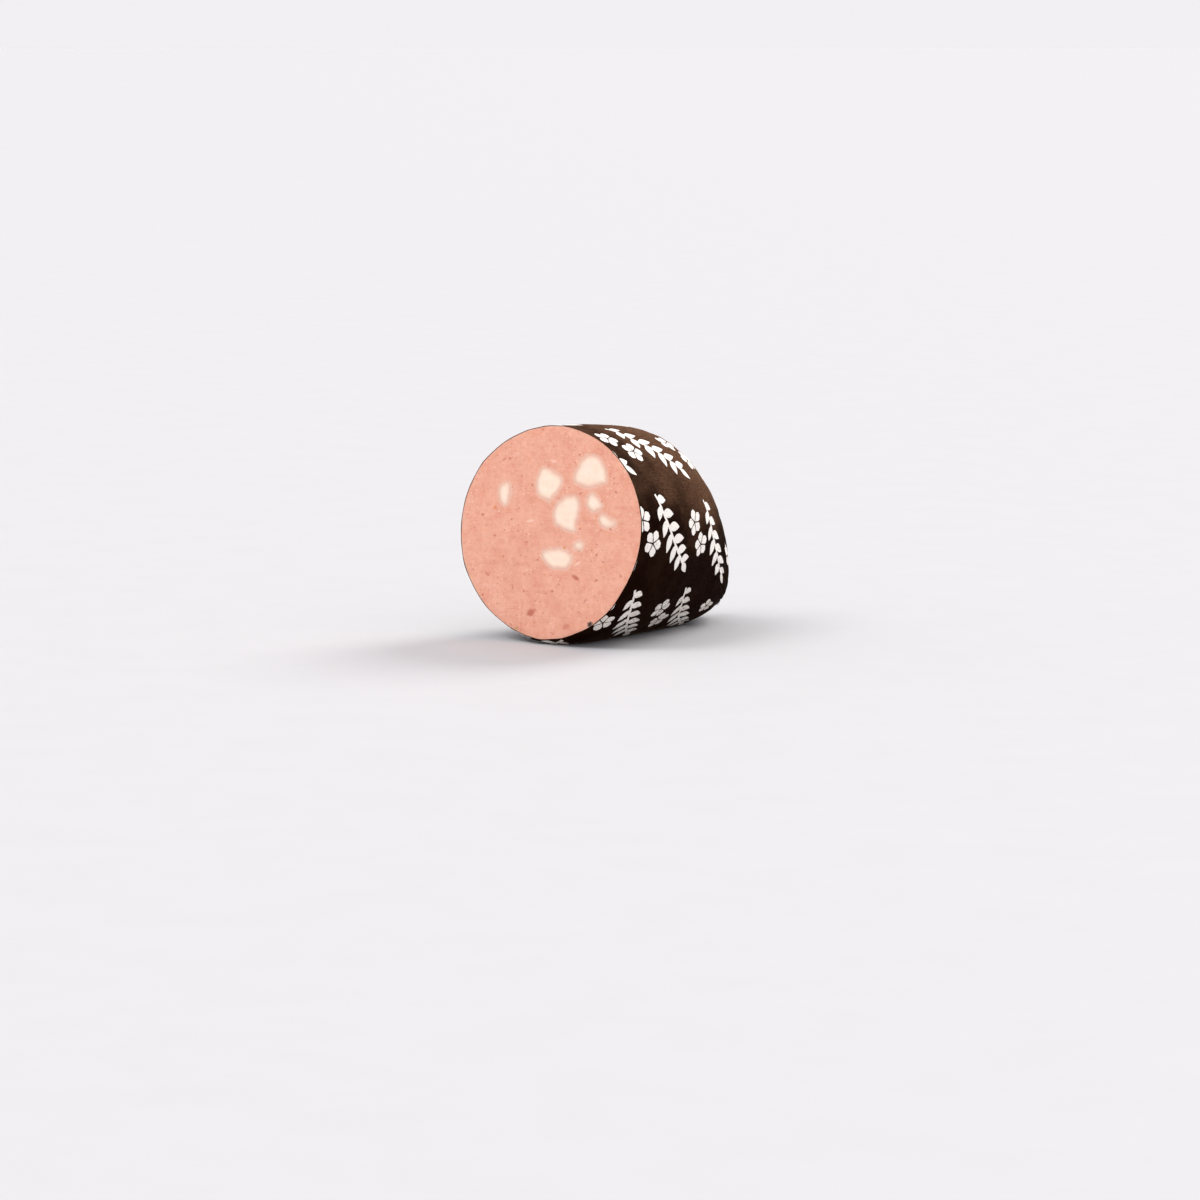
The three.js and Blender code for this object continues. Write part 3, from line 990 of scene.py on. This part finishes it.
@dataclass
class CutFace:
    """The sliced end: one net of triangles shared out between the meat and the fat cubes.

    Attributes:
        grain: spacing of the net's loose points.
        corner, outline_step: how the cubes' corners are rounded, and how finely.
        meat_inset: how far the meat's rim lies inside the skin.
        rim_set_back: how far the rim of the meat lies behind the casing's edge.
        meat_bulge, fat_bulge: how far meat and fat swell out of the cut.
        seam_dip, seam_width: the faint groove round each cube.
        rim_bands: extra rings of points that follow the rim, by their distance from it.
        clear_of_rim, clear_of_cubes: how far the loose points keep away.
        pocket_rounding, pocket_levels: rounding at a pocket's floor, and rings down its wall.
    """

    casing: Casing
    grain: float = 1.15
    corner: float = 2.4
    outline_step: float = 0.8
    meat_inset: float = 0.33
    rim_set_back: float = 0.04
    meat_bulge: float = 0.32
    fat_bulge: float = 0.10
    fat_bulge_reach: float = 2.4
    seam_dip: float = 0.03
    seam_width: float = 0.5
    rim_fade: float = 1.3
    rim_bands: tuple[float, float] = (0.35, 0.9)
    clear_of_rim: float = 1.5
    clear_of_cubes: float = 0.75
    jitter: float = 0.16
    outline_wobble: float = 0.2
    pocket_rounding: float = 1.6
    pocket_levels: int = 5
    seed: int = 5

    def __post_init__(self) -> None:
        """Lay out the rim, the cubes' outlines and the net, and give the net its relief."""
        shape = self.casing.shape
        angle = self.casing.angles()
        rim = self.casing.skin(np.zeros(len(angle)), angle, self.meat_inset)
        self.rim = shape.face_coordinates(rim)[:, :2]
        wobble = Ripple(3.0, 21)
        self.outlines = []
        for _, corners in CUBES:
            outline = rounded_outline(np.array(corners, float), self.corner, self.outline_step)
            lift = np.stack([wobble(self.deep(outline, k)) for k in (0.0, 50.0)], -1)
            self.outlines.append(outline + self.outline_wobble * lift)
        self.net()
        self.relieve()

    @staticmethod
    def deep(points: Array, depth: float = 0.0) -> Array:
        """Give flat points a third coordinate."""
        return np.concatenate([points, np.full((len(points), 1), depth)], 1)

    def fill(self) -> Array:
        """Give the loose points inside the rim: jittered rows that keep off every outline."""
        random = np.random.default_rng(self.seed)
        low, high = self.rim.min(0), self.rim.max(0)
        across = np.arange(low[0], high[0], self.grain)
        up = np.arange(low[1], high[1], self.grain * 0.87)
        grid = np.stack(np.meshgrid(across, up), -1)
        grid[1::2, :, 0] += self.grain / 2
        points = grid.reshape(-1, 2)
        points = points + random.uniform(-self.jitter, self.jitter, points.shape) * self.grain
        keep = inside(points, self.rim) & (distance_to(points, self.rim) > self.clear_of_rim)
        for outline in self.outlines:
            keep &= distance_to(points, outline) > self.clear_of_cubes
        return points[keep]

    def net(self) -> None:
        """Triangulate the face through the rim and every outline."""
        middle = self.rim.mean(0)
        bands = [self.rim]
        for gap in self.rim_bands:
            span = np.linalg.norm(self.rim - middle, axis=1, keepdims=True)
            bands.append(middle + (self.rim - middle) * (1 - gap / span))
        rings = bands + self.outlines
        edges: list[tuple[int, int]] = []
        start = 0
        for ring in rings:
            count = len(ring)
            if ring is bands[0] or any(ring is o for o in self.outlines):
                edges += [(start + k, start + (k + 1) % count) for k in range(count)]
            start += count
        points = np.concatenate([*rings, self.fill()])
        made = delaunay_2d_cdt([Vector(p) for p in points.tolist()], edges, [], 0, 1e-7)
        self.flat = np.array([tuple(v) for v in made[0]])
        ids = {old: new for new, olds in enumerate(made[3]) for old in olds}
        self.rim_ids = np.array([ids[k] for k in range(len(self.rim))])
        start = sum(len(band) for band in bands)
        self.outline_ids = []
        for outline in self.outlines:
            self.outline_ids.append(np.array([ids[start + k] for k in range(len(outline))]))
            start += len(outline)
        triangles = np.array([face for face in made[2] if len(face) == 3])
        centres = self.flat[triangles].mean(1)
        inner = inside(centres, self.rim)
        triangles, centres = triangles[inner], centres[inner]
        self.owner = np.full(len(triangles), -1)
        for index, outline in enumerate(self.outlines):
            self.owner[inside(centres, outline)] = index
        self.triangles = triangles

    def relieve(self) -> None:
        """Work out how far each point of the net stands out of the cut."""
        solid = self.deep(self.flat)
        waves = 0.12 * Ripple(17, 31)(solid) + 0.045 * Ripple(5, 32)(solid)
        drag = solid * np.array([0.18, 1.0, 1.0])
        waves += 0.035 * Ripple(1.7, 33)(drag) + 0.02 * Ripple(1.6, 34)(solid)
        from_rim = distance_to(self.flat, self.rim)
        fade = 1 - np.exp(-from_rim / self.rim_fade)
        self.border = np.min([distance_to(self.flat, o) for o in self.outlines], 0)
        self.height = -self.rim_set_back + (self.meat_bulge + waves) * fade
        in_fat = np.zeros(len(self.flat), bool)
        for outline in self.outlines:
            in_fat |= inside(self.flat, outline)
        dome = self.fat_bulge * smooth_step(0, self.fat_bulge_reach, self.border)
        dip = -self.seam_dip * np.exp(-((self.border / self.seam_width) ** 2))
        self.height += np.where(in_fat, dome, 0) + dip

    def points(self) -> Array:
        """Give the net's points in the log's frame."""
        return self.casing.shape.on_face(self.flat[:, 0], self.flat[:, 1], self.height)

    def wall(self, index: int, inset: float) -> list[Array]:
        """Give rings going down a cube's pocket.

        Args:
            index: which cube.
            inset: how far the rings stand in from the outline, in millimetres.

        Returns:
            Rings of points in the log's frame, from just under the face to the floor.
        """
        depth = CUBES[index][0]
        ids = self.outline_ids[index]
        flat, top = self.flat[ids], self.height[ids]
        middle = flat.mean(0)
        span = np.linalg.norm(flat - middle, axis=1, keepdims=True)
        rings = []
        for share in np.linspace(0, 1, self.pocket_levels + 1)[1:]:
            round_off = self.pocket_rounding * smooth_step(0.75, 1.0, np.array(share))
            pulled = middle + (flat - middle) * (1 - (inset + round_off) / span)
            level = top * (1 - share) - depth * share
            rings.append(self.casing.shape.on_face(pulled[:, 0], pulled[:, 1], level))
        return rings

    def lined(self, index: int, start: int, inset: float) -> tuple[Array, Faces]:
        """Give a cube's wall and floor as points and faces, hung from its outline.

        Args:
            index: which cube.
            start: number of the first new point.
            inset: how far the wall stands in from the outline.

        Returns:
            The new points, and the faces.
        """
        rings = self.wall(index, inset)
        count = len(rings[0])
        rows = [start + k * count + np.arange(count) for k in range(len(rings))]
        hub = start + len(rings) * count
        faces = grid_faces([self.outline_ids[index], *rows]) + fan_faces(rows[-1], hub, True)
        return np.concatenate([*rings, [rings[-1].mean(0)]]), faces


def turn_to_match(faces: Faces, like: Array) -> Faces:
    """Turn joined-on faces round if they share an edge with the net in the same direction."""
    edges = {(a, b) for t in like.tolist() for a, b in zip(t, t[1:] + t[:1])}
    for face in faces:
        for a, b in zip(face, face[1:] + face[:1]):
            if (a, b) in edges:
                return [f[::-1] for f in faces]
            if (b, a) in edges:
                return faces
    return faces


@dataclass
class Meat:
    """The pink paste: the cut face with its pockets, and the body inside the casing."""

    face: CutFace
    skin_rows: int = 26
    tip_share: float = 0.96
    far_from_fat: float = 9.0

    def build(self) -> bpy.types.Object:
        """Build the closed meat with its pockets."""
        casing, shape = self.face.casing, self.face.casing.shape
        own = self.face.triangles[self.face.owner < 0]
        points = [self.face.points()]
        faces: Faces = [tuple(t) for t in own.tolist()]
        total = len(points[0])
        for index in range(len(CUBES)):
            extra, more = self.face.lined(index, total, 0.0)
            faces += turn_to_match(more, own)
            points.append(extra)
            total += len(extra)
        angle = casing.angles()
        quarter = np.linspace(0, math.pi / 2, self.skin_rows + 1)[1:]
        stations = shape.length * np.sin(quarter) * self.tip_share
        inset = self.face.meat_inset
        rings = [casing.inner(np.full(len(angle), s), angle, inset) for s in stations]
        rows = [total + k * len(angle) + np.arange(len(angle)) for k in range(self.skin_rows)]
        hub = total + self.skin_rows * len(angle)
        side = grid_faces([self.face.rim_ids, *rows]) + fan_faces(rows[-1], hub, True)
        faces += turn_to_match(side, own)
        points += [*rings, rings[-1].mean(0)[None]]
        solid = np.concatenate(points)
        used = np.unique(np.concatenate([np.array(f) for f in faces]))
        number = np.full(len(solid), -1)
        number[used] = np.arange(len(used))
        beyond = np.full(len(solid) - len(self.face.border), self.far_from_fat)
        border = np.concatenate([self.face.border, beyond])
        faces = [tuple(number[list(f)].tolist()) for f in faces]
        piece = make_piece("cut_meat", shape, solid[used], faces, CREASE)
        write_vectors(piece, "face_mm", shape.face_coordinates(solid[used]))
        write_numbers(piece, "border_mm", border[used])
        piece.data.materials.append(MeatFinish().make())
        return report(piece, Slot.MEAT, "meat")


@dataclass
class FatCubes:
    """The lardelli: one closed, slightly domed cube in each pocket."""

    face: CutFace
    fit: float = 0.05

    def build(self) -> list[bpy.types.Object]:
        """Build every cube."""
        finish = FatFinish().make()
        return [self.cube(index, finish) for index in range(len(CUBES))]

    def cube(self, index: int, finish: bpy.types.Material) -> bpy.types.Object:
        """Build one cube, its top sharing the pocket's outline."""
        shape = self.face.casing.shape
        own = self.face.triangles[self.face.owner == index]
        top = self.face.points()
        extra, more = self.face.lined(index, len(top), self.fit)
        faces = [tuple(t) for t in own.tolist()] + turn_to_match(more, own)
        solid = np.concatenate([top, extra])
        used = np.unique(np.concatenate([np.array(f) for f in faces]))
        number = np.full(len(solid), -1)
        number[used] = np.arange(len(used))
        faces = [tuple(number[list(f)].tolist()) for f in faces]
        border = np.concatenate([self.face.border, np.zeros(len(extra))])
        piece = make_piece(f"fat_cube_{index + 1}", shape, solid[used], faces, CREASE)
        write_vectors(piece, "face_mm", shape.face_coordinates(solid[used]))
        write_numbers(piece, "border_mm", border[used])
        piece.data.materials.append(finish)
        return report(piece, Slot.FAT, f"lardello_{index + 1}")


# ---------------------------------------------------------------------------
# The printed pattern
# ---------------------------------------------------------------------------


class Stamp(NamedTuple):
    """One motif on the flat pattern: its place, turn and size."""

    along: float
    across: float
    turn: float
    length: float
    width: float


@dataclass
class PrintedPattern:
    """Worn white sprigs and rosettes, printed flat and wrapped round the casing.

    Attributes:
        girth: the flat pattern's width, the way round the log at the cut face.
        repeat, rows, row_drift: the lattice along the log and round it, and its slope.
        sprig_bow: how far the stem bows out of straight.
        tip_leaf: the last leaf's distance from the stem's end, its length and width.
        rosettes: each one's place beside its sprig, its first turn, and the turn per sprig.
        above, below: how far the ink stands over the skin, and reaches into it.
        rim_margin: where the print stops behind the cut rim.
        first_kept, last_kept: stations between which a motif is printed.
    """

    casing: Casing
    girth: float = 330.0
    repeat: float = 48.0
    rows: int = 7
    row_drift: float = 3.0
    first_station: float = 34.5
    first_across: float = 32.5
    sprig_length: float = 46.0
    sprig_turn: float = math.radians(52)
    sprig_bow: float = 3.2
    leaf_count: int = 12
    leaf_length: float = 9.6
    leaf_width: float = 4.7
    leaf_lean: float = math.radians(50)
    tip_leaf: tuple[float, float, float] = (3.4, 7.8, 3.8)
    stem_width: float = 1.3
    petal_length: float = 5.6
    petal_width: float = 4.75
    rosette_eye: float = 0.75
    rosettes: tuple[tuple[float, float, float, float], ...] = (
        (21.5, -4.5, 0.3, 1.0),
        (-17.5, 3.5, 0.9, 1.7),
    )
    above: float = 0.08
    below: float = 0.10
    rim_margin: float = 0.35
    first_kept: float = -4.0
    last_kept: float = 106.0

    def centres(self) -> list[tuple[float, float]]:
        """Give the middles of the sprigs, row by row round the log."""
        pitch = self.girth / self.rows
        slip = self.repeat / self.rows
        return [
            (
                self.first_station + self.repeat * i - slip * j,
                self.first_across + pitch * j + self.row_drift * i,
            )
            for j in range(self.rows)
            for i in (-1, 0, 1)
        ]

    def sprig(self, along: float, across: float) -> dict[Motif, list[Stamp]]:
        """Give one sprig: a gently curved stem with leaves on alternate sides."""
        made: dict[Motif, list[Stamp]] = {Motif.LEAF: [], Motif.STEM: []}
        count = self.leaf_count
        tip_gap, tip_length, tip_width = self.tip_leaf
        for k in range(count):
            share = (k + 0.5) / count - 0.5
            bend = 0.22 * math.cos(share * math.pi)
            turn = self.sprig_turn - 0.35 * share
            run = share * self.sprig_length
            aside = self.sprig_bow * (math.cos(share * math.pi) - 0.6)
            x = along + run * math.cos(self.sprig_turn) - aside * math.sin(self.sprig_turn)
            y = across + run * math.sin(self.sprig_turn) + aside * math.cos(self.sprig_turn)
            made[Motif.STEM].append(
                Stamp(x, y, turn + 0.12 * bend, self.sprig_length / count * 1.12, self.stem_width)
            )
            side = 1 if k % 2 else -1
            size = 1.0 - 0.35 * abs(share) * 2
            lean = turn + side * self.leaf_lean
            reach = 0.52 * self.leaf_length * size + 0.3
            if k < count - 1:
                made[Motif.LEAF].append(
                    Stamp(
                        x + reach * math.cos(lean),
                        y + reach * math.sin(lean),
                        lean,
                        self.leaf_length * size,
                        self.leaf_width * (0.75 + 0.25 * size),
                    )
                )
            else:
                x, y = x + tip_gap * math.cos(turn), y + tip_gap * math.sin(turn)
                made[Motif.LEAF].append(Stamp(x, y, turn, tip_length, tip_width))
        return made

    def rosette(self, along: float, across: float, turn: float) -> list[Stamp]:
        """Give one rosette: five petals round an open middle."""
        petals = []
        for k in range(5):
            lean = turn + k * 2 * math.pi / 5
            reach = 0.5 * self.petal_length + self.rosette_eye
            petals.append(
                Stamp(
                    along + reach * math.cos(lean),
                    across + reach * math.sin(lean),
                    lean,
                    self.petal_length,
                    self.petal_width,
                )
            )
        return petals

    def stamps(self) -> dict[Motif, list[Stamp]]:
        """Give every motif of the pattern, those off the log left out."""
        made: dict[Motif, list[Stamp]] = {motif: [] for motif in Motif}
        for index, (along, across) in enumerate(self.centres()):
            for motif, stamps in self.sprig(along, across).items():
                made[motif] += stamps
            for ahead, aside, turn, step in self.rosettes:
                turn = turn + index * step
                made[Motif.PETAL] += self.rosette(along + ahead, across + aside, turn)
        return {
            motif: [s for s in stamps if self.first_kept < s.along < self.last_kept]
            for motif, stamps in made.items()
        }

    def unit_motif(self, motif: Motif) -> bpy.types.Object:
        """Make the closed unit slab that a motif is stamped from: 1 long, 1 wide, 1 thick."""
        steps = {Motif.LEAF: 12, Motif.PETAL: 8, Motif.STEM: 6}[motif]
        share = np.linspace(0, 1, steps + 1)
        if motif is Motif.LEAF:
            half = 0.5 * np.sin(math.pi * share**0.8) ** 0.85
            half[-1] = 0.03
            half[0] = 0.05
        elif motif is Motif.PETAL:
            half = 0.5 * np.sin(math.pi * np.clip(share, 0.04, 0.93) ** 1.5) ** 0.75
        else:
            half = np.full(steps + 1, 0.5)
        across = np.linspace(-1.0, 1.0, 5)
        layer = np.array([[x - 0.5, h * c] for x, h in zip(share, half) for c in across])
        top = np.concatenate([layer, np.full((len(layer), 1), 1.0)], 1)
        points = np.concatenate([top, top * np.array([1, 1, 0])])
        number = np.arange(len(layer)).reshape(steps + 1, len(across))
        faces = []
        for one, two in zip(number[:-1], number[1:]):
            for k in range(len(across) - 1):
                quad = (one[k], two[k], two[k + 1], one[k + 1])
                faces += [tuple(map(int, quad)), tuple(int(q) + len(layer) for q in quad[::-1])]
        rim = [*number[:, 0], *number[-1, 1:-1], *number[::-1, -1], *number[0, -2:0:-1]]
        for a, b in zip(rim, rim[1:] + rim[:1]):
            faces.append(tuple(int(q) for q in (b, a, a + len(layer), b + len(layer))))
        mesh = bpy.data.meshes.new(f"unit_{motif.value}")
        mesh.from_pydata(points.tolist(), [], faces)
        return bpy.data.objects.new(mesh.name, mesh)

    @staticmethod
    def stamp_tree(motif: bpy.types.Object, ink: bpy.types.Material) -> bpy.types.NodeTree:
        """Build the tree that stamps a motif at every point of a mesh.

        Args:
            motif: the unit slab.
            ink: the material that the tree ends in.

        Returns:
            The tree; each point's turn, length and width are read from its attributes.
        """
        tree = bpy.data.node_groups.new(f"stamp_{motif.name}", "GeometryNodeTree")
        for way in ("INPUT", "OUTPUT"):
            tree.interface.new_socket("Geometry", in_out=way, socket_type="NodeSocketGeometry")
        new, link = tree.nodes.new, tree.links.new
        start, end = new("NodeGroupInput"), new("NodeGroupOutput")
        named = {}
        for name in ("turn", "length", "width"):
            node = new("GeometryNodeInputNamedAttribute")
            node.data_type = "FLOAT"
            node.inputs["Name"].default_value = name
            named[name] = node.outputs["Attribute"]
        turn, size = new("ShaderNodeCombineXYZ"), new("ShaderNodeCombineXYZ")
        link(named["turn"], turn.inputs["Z"])
        link(named["length"], size.inputs["X"])
        link(named["width"], size.inputs["Y"])
        size.inputs["Z"].default_value = 1.0
        source, place = new("GeometryNodeObjectInfo"), new("GeometryNodeInstanceOnPoints")
        source.inputs["Object"].default_value = motif
        euler = new("FunctionNodeEulerToRotation")
        link(turn.outputs[0], euler.inputs[0])
        link(start.outputs["Geometry"], place.inputs["Points"])
        link(source.outputs["Geometry"], place.inputs["Instance"])
        link(euler.outputs[0], place.inputs["Rotation"])
        link(size.outputs[0], place.inputs["Scale"])
        real, coat = new("GeometryNodeRealizeInstances"), new("GeometryNodeSetMaterial")
        coat.inputs["Material"].default_value = ink
        link(place.outputs[0], real.inputs[0])
        link(real.outputs[0], coat.inputs["Geometry"])
        link(coat.outputs[0], end.inputs[0])
        return tree

    def stamped(
        self, motif: Motif, stamps: list[Stamp], ink: bpy.types.Material
    ) -> tuple[Array, Faces]:
        """Stamp a motif on the flat pattern by geometry nodes.

        Args:
            motif: which motif.
            stamps: where it goes.
            ink: the ink's material.

        Returns:
            The flat points (station, across, height 0 to 1) and the faces.
        """
        unit = self.unit_motif(motif)
        mesh = bpy.data.meshes.new("stamps")
        mesh.from_pydata([(s.along, s.across, 0.0) for s in stamps], [], [])
        for name in ("turn", "length", "width"):
            store = mesh.attributes.new(name, "FLOAT", "POINT")
            store.data.foreach_set("value", [getattr(s, name) for s in stamps])
        holder = bpy.data.objects.new("stamps", mesh)
        bpy.context.scene.collection.objects.link(holder)
        modifier = holder.modifiers.new("stamp", "NODES")
        modifier.node_group = self.stamp_tree(unit, ink)
        graph = bpy.context.evaluated_depsgraph_get()
        flat = bpy.data.meshes.new_from_object(holder.evaluated_get(graph))
        points = np.zeros(len(flat.vertices) * 3, np.float32)
        flat.vertices.foreach_get("co", points)
        faces = [tuple(p.vertices) for p in flat.polygons]
        for thing in (holder, unit):
            bpy.data.objects.remove(thing)
        return points.reshape(-1, 3).astype(float), faces

    def wrapped(self, flat: Array) -> Array:
        """Wrap flat points round the log, on the casing's soft skin."""
        station = flat[:, 0]
        angle = math.pi / 2 - flat[:, 1] / self.girth * 2 * math.pi
        on_skin = self.casing.skin(station, angle)
        out = self.casing.shape.normal(station, angle)
        lift = flat[:, 2] * (self.above + self.below) - self.below
        points = on_skin + out * lift[:, None]
        points[:, 2] = np.maximum(points[:, 2], 0.0)
        return points

    def build(self) -> list[bpy.types.Object]:
        """Build the sprigs and the rosettes as two pieces."""
        ink = InkFinish().make()
        stamps = self.stamps()
        groups = {
            "printed_sprigs": (Motif.STEM, Motif.LEAF),
            "printed_rosettes": (Motif.PETAL,),
        }
        pieces = []
        for name, motifs in groups.items():
            points, faces, start = [], [], 0
            for motif in motifs:
                flat, own = self.stamped(motif, stamps[motif], ink)
                points.append(flat)
                faces += [tuple(v + start for v in face) for face in own]
                start += len(flat)
            flat = self.trimmed(np.concatenate(points))
            piece = make_piece(name, self.casing.shape, self.wrapped(flat), faces, CREASE)
            piece.data.materials.append(ink)
            pieces.append(report(piece, Slot.PRINT))
        return pieces

    def trimmed(self, flat: Array) -> Array:
        """Squeeze what would hang over the cut rim back to just behind it."""
        kept = flat.copy()
        over = kept[:, 0] < self.rim_margin
        kept[over, 0] = self.rim_margin + 0.02 * (kept[over, 0] - self.rim_margin)
        return kept


# ---------------------------------------------------------------------------
# The clip
# ---------------------------------------------------------------------------


@dataclass
class Clip:
    """A flat ring of soft metal, pressed round the neck, with its crimped lap.

    Attributes:
        wire, bore: thickness of the wire and half-width of the hole.
        loop_squareness, wire_squareness: 2 is round; more is squarer.
        teeth_depth, teeth_pitch, teeth_reach: the marks that the crimping tool left.
        lap_rise, lap_edges: how far the lapped ends stand out, and where the lap stops.
        seam_depth, seam_width: the seam between the two ends.
    """

    shape: LogShape
    around: int = 144
    section_steps: int = 20
    wire: float = 1.4
    bore: float = 3.3
    loop_squareness: float = 3.4
    wire_squareness: float = 4.0
    teeth_depth: float = 0.22
    teeth_pitch: float = 0.5
    teeth_reach: float = 4.2
    lap_rise: float = 0.28
    lap_edges: tuple[float, float] = (2.6, 2.2)
    seam_depth: float = 0.3
    seam_width: float = 0.16

    @staticmethod
    def squared(angle: Array, power: float) -> Array:
        """Give how far a rounded square reaches at each angle."""
        return (np.abs(np.cos(angle)) ** power + np.abs(np.sin(angle)) ** power) ** (-1 / power)

    def loop(self, share: Array) -> tuple[Array, Array]:
        """Give the middle line of the ring and its outward directions.

        Args:
            share: places along the ring, from 0 to 1.

        Returns:
            Points (right, up) and unit directions.
        """
        angle = share * 2 * math.pi + math.pi / 2
        reach = self.squared(angle, self.loop_squareness) * (self.bore + self.wire / 2)
        line = np.stack([np.cos(angle), np.sin(angle)], -1) * reach[:, None]
        step = np.roll(line, -1, 0) - np.roll(line, 1, 0)
        out = np.stack([step[:, 1], -step[:, 0]], -1)
        return line, out / np.linalg.norm(out, axis=1, keepdims=True)

    def build(self) -> bpy.types.Object:
        """Sweep the flat wire round the neck and press the crimp into it."""
        share = np.arange(self.around) / self.around
        line, out = self.loop(share)
        gap = np.minimum(share, 1 - share) * 2 * math.pi * (self.bore + self.wire / 2)
        teeth = self.teeth_depth * np.maximum(np.sin(gap / self.teeth_pitch), 0) ** 2
        teeth = teeth * (gap < self.teeth_reach)
        lap = self.lap_rise * smooth_step(*self.lap_edges, gap)
        seam = self.seam_depth * np.exp(-((gap / self.seam_width) ** 2))
        thick = self.wire / 2 * (1 - 0.05 * np.sin(share * 19)) + (lap - teeth - seam) * 0.5
        turn = np.arange(self.section_steps) / self.section_steps * 2 * math.pi
        reach = self.squared(turn, self.wire_squareness)
        side, along = np.cos(turn) * reach, np.sin(turn) * reach
        low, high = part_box("clip")
        middle = np.array((low + high) / 2) / MM - self.shape.origin
        half_length = self.shape.clip_length / 2 * (1 - 0.06 * np.cos(share * 4 * math.pi))
        points = np.zeros((self.around, self.section_steps, 3))
        off = side[None] * thick[:, None] + (lap * 0.3)[:, None]
        points[..., 0] = middle[0] + line[:, None, 0] + out[:, None, 0] * off
        points[..., 2] = middle[2] + line[:, None, 1] + out[:, None, 1] * off
        points[..., 1] = middle[1] + along[None] * half_length[:, None]
        steps = self.section_steps
        rings = [np.arange(steps) + k * steps for k in range(self.around)]
        faces = grid_faces([*rings, rings[0]])
        piece = make_piece("crimped_clip", self.shape, points.reshape(-1, 3), faces)
        piece.data.materials.append(MetalFinish().make())
        return report(piece, Slot.METAL, "clip")


# ---------------------------------------------------------------------------
# The studio
# ---------------------------------------------------------------------------


class Lamp(NamedTuple):
    """A broad, soft, far-off lamp, given by the way it shines from."""

    name: str
    azimuth: float
    height: float
    spread: float
    strength: float
    colour: Colour


@dataclass
class Studio:
    """A pale floor under soft light, and the camera.

    Attributes:
        paper, floor_tone: colours of the room and the floor.
        azimuth, pitch: the way the camera looks, in degrees.
        face_in_view: the middle of the cut face from the camera: right, ahead, up, in mm.
    """

    shape: LogShape
    paper: Colour = (0.883, 0.868, 0.892)
    floor_tone: Colour = (0.545, 0.541, 0.555)
    floor_radius: float = 40.0
    azimuth: float = 38.0
    pitch: float = 7.72
    lens: float = 129.0
    sensor: float = 36.0
    near_and_far: tuple[float, float] = (0.05, 50.0)
    face_in_view: tuple[float, float, float] = (-23.74, 2009.35, -240.75)
    lamps: tuple[Lamp, ...] = (
        Lamp("key", -25.0, 50.0, 30.0, 1.35, (1.0, 0.985, 0.965)),
        Lamp("rim", 172.0, 40.0, 30.0, 2.0, (1.0, 0.965, 0.93)),
    )

    def build(self) -> None:
        """Build the world, the floor, the lamps and the camera."""
        world = bpy.data.worlds.new("pale_room")
        bpy.context.scene.world = world
        world.use_nodes = True
        backdrop = world.node_tree.nodes["Background"]
        backdrop.inputs["Color"].default_value = (*self.paper, 1)
        backdrop.inputs["Strength"].default_value = 1.0
        self.floor()
        for lamp in self.lamps:
            self.hang(lamp)
        self.camera()
        view = bpy.context.scene.view_settings
        view.view_transform = "Standard"
        view.look = "None"

    def floor(self) -> None:
        """Lay a round pale floor, fine-grained and even."""
        count = 96
        angle = np.arange(count) / count * 2 * math.pi
        ring = np.stack([np.cos(angle), np.sin(angle), 0 * angle], -1) * self.floor_radius
        mesh = bpy.data.meshes.new("floor")
        mesh.from_pydata(ring.tolist(), [], [tuple(range(count))])
        floor = bpy.data.objects.new("floor", mesh)
        bpy.context.scene.collection.objects.link(floor)
        use = Shader("pale_floor_finish")
        grain = use.noise(use.place((0.01, 0.01, 0.01)), 3.0, 3)
        darker = tuple(value * 0.985 for value in self.floor_tone)
        use.set(
            Base_Color=use.mix(use.spread(grain, 0.3, 0.7), self.floor_tone, darker),
            Roughness=0.85,
            Specular_IOR_Level=0.2,
        )
        mesh.materials.append(use.material)

    def hang(self, lamp: Lamp) -> None:
        """Hang one lamp; azimuth 0 shines along +Y, onto the cut face."""
        light = bpy.data.lights.new(lamp.name, "SUN")
        light.angle = math.radians(lamp.spread)
        light.energy = lamp.strength
        light.color = lamp.colour
        holder = bpy.data.objects.new(lamp.name, light)
        around, above = math.radians(lamp.azimuth), math.radians(lamp.height)
        level = math.cos(above)
        towards = Vector((math.sin(around) * level, -math.cos(around) * level, math.sin(above)))
        holder.location = towards
        holder.rotation_euler = towards.to_track_quat("Z", "Y").to_euler()
        bpy.context.scene.collection.objects.link(holder)

    def camera(self) -> None:
        """Set the camera by where it sees the middle of the cut face."""
        turn = math.radians(self.azimuth)
        right = np.array([math.cos(turn), math.sin(turn), 0])
        ahead = np.array([-math.sin(turn), math.cos(turn), 0])
        face = self.shape.origin + np.array([0, 0, self.shape.face_middle])
        across, away, up = self.face_in_view
        place = (face - right * across - ahead * away - np.array([0, 0, up])) * MM
        data = bpy.data.cameras.new("camera")
        data.lens = self.lens
        data.sensor_width = self.sensor
        data.clip_start, data.clip_end = self.near_and_far
        camera = bpy.data.objects.new("camera", data)
        camera.location = place
        camera.rotation_euler = (math.radians(90 - self.pitch), 0, turn)
        bpy.context.scene.collection.objects.link(camera)
        bpy.context.scene.camera = camera


def main() -> None:
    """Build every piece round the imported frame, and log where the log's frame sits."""
    logging.basicConfig(level=logging.INFO, format="%(name)s %(message)s")
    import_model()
    shape = LogShape.from_frame()
    log.info("log frame sits at %s mm", np.round(shape.origin, 2).tolist())
    Studio(shape).build()
    casing = Casing(shape)
    casing.build()
    face = CutFace(casing)
    Meat(face).build()
    FatCubes(face).build()
    PrintedPattern(casing).build()
    Clip(shape).build()


if __name__ == "__main__":
    main()
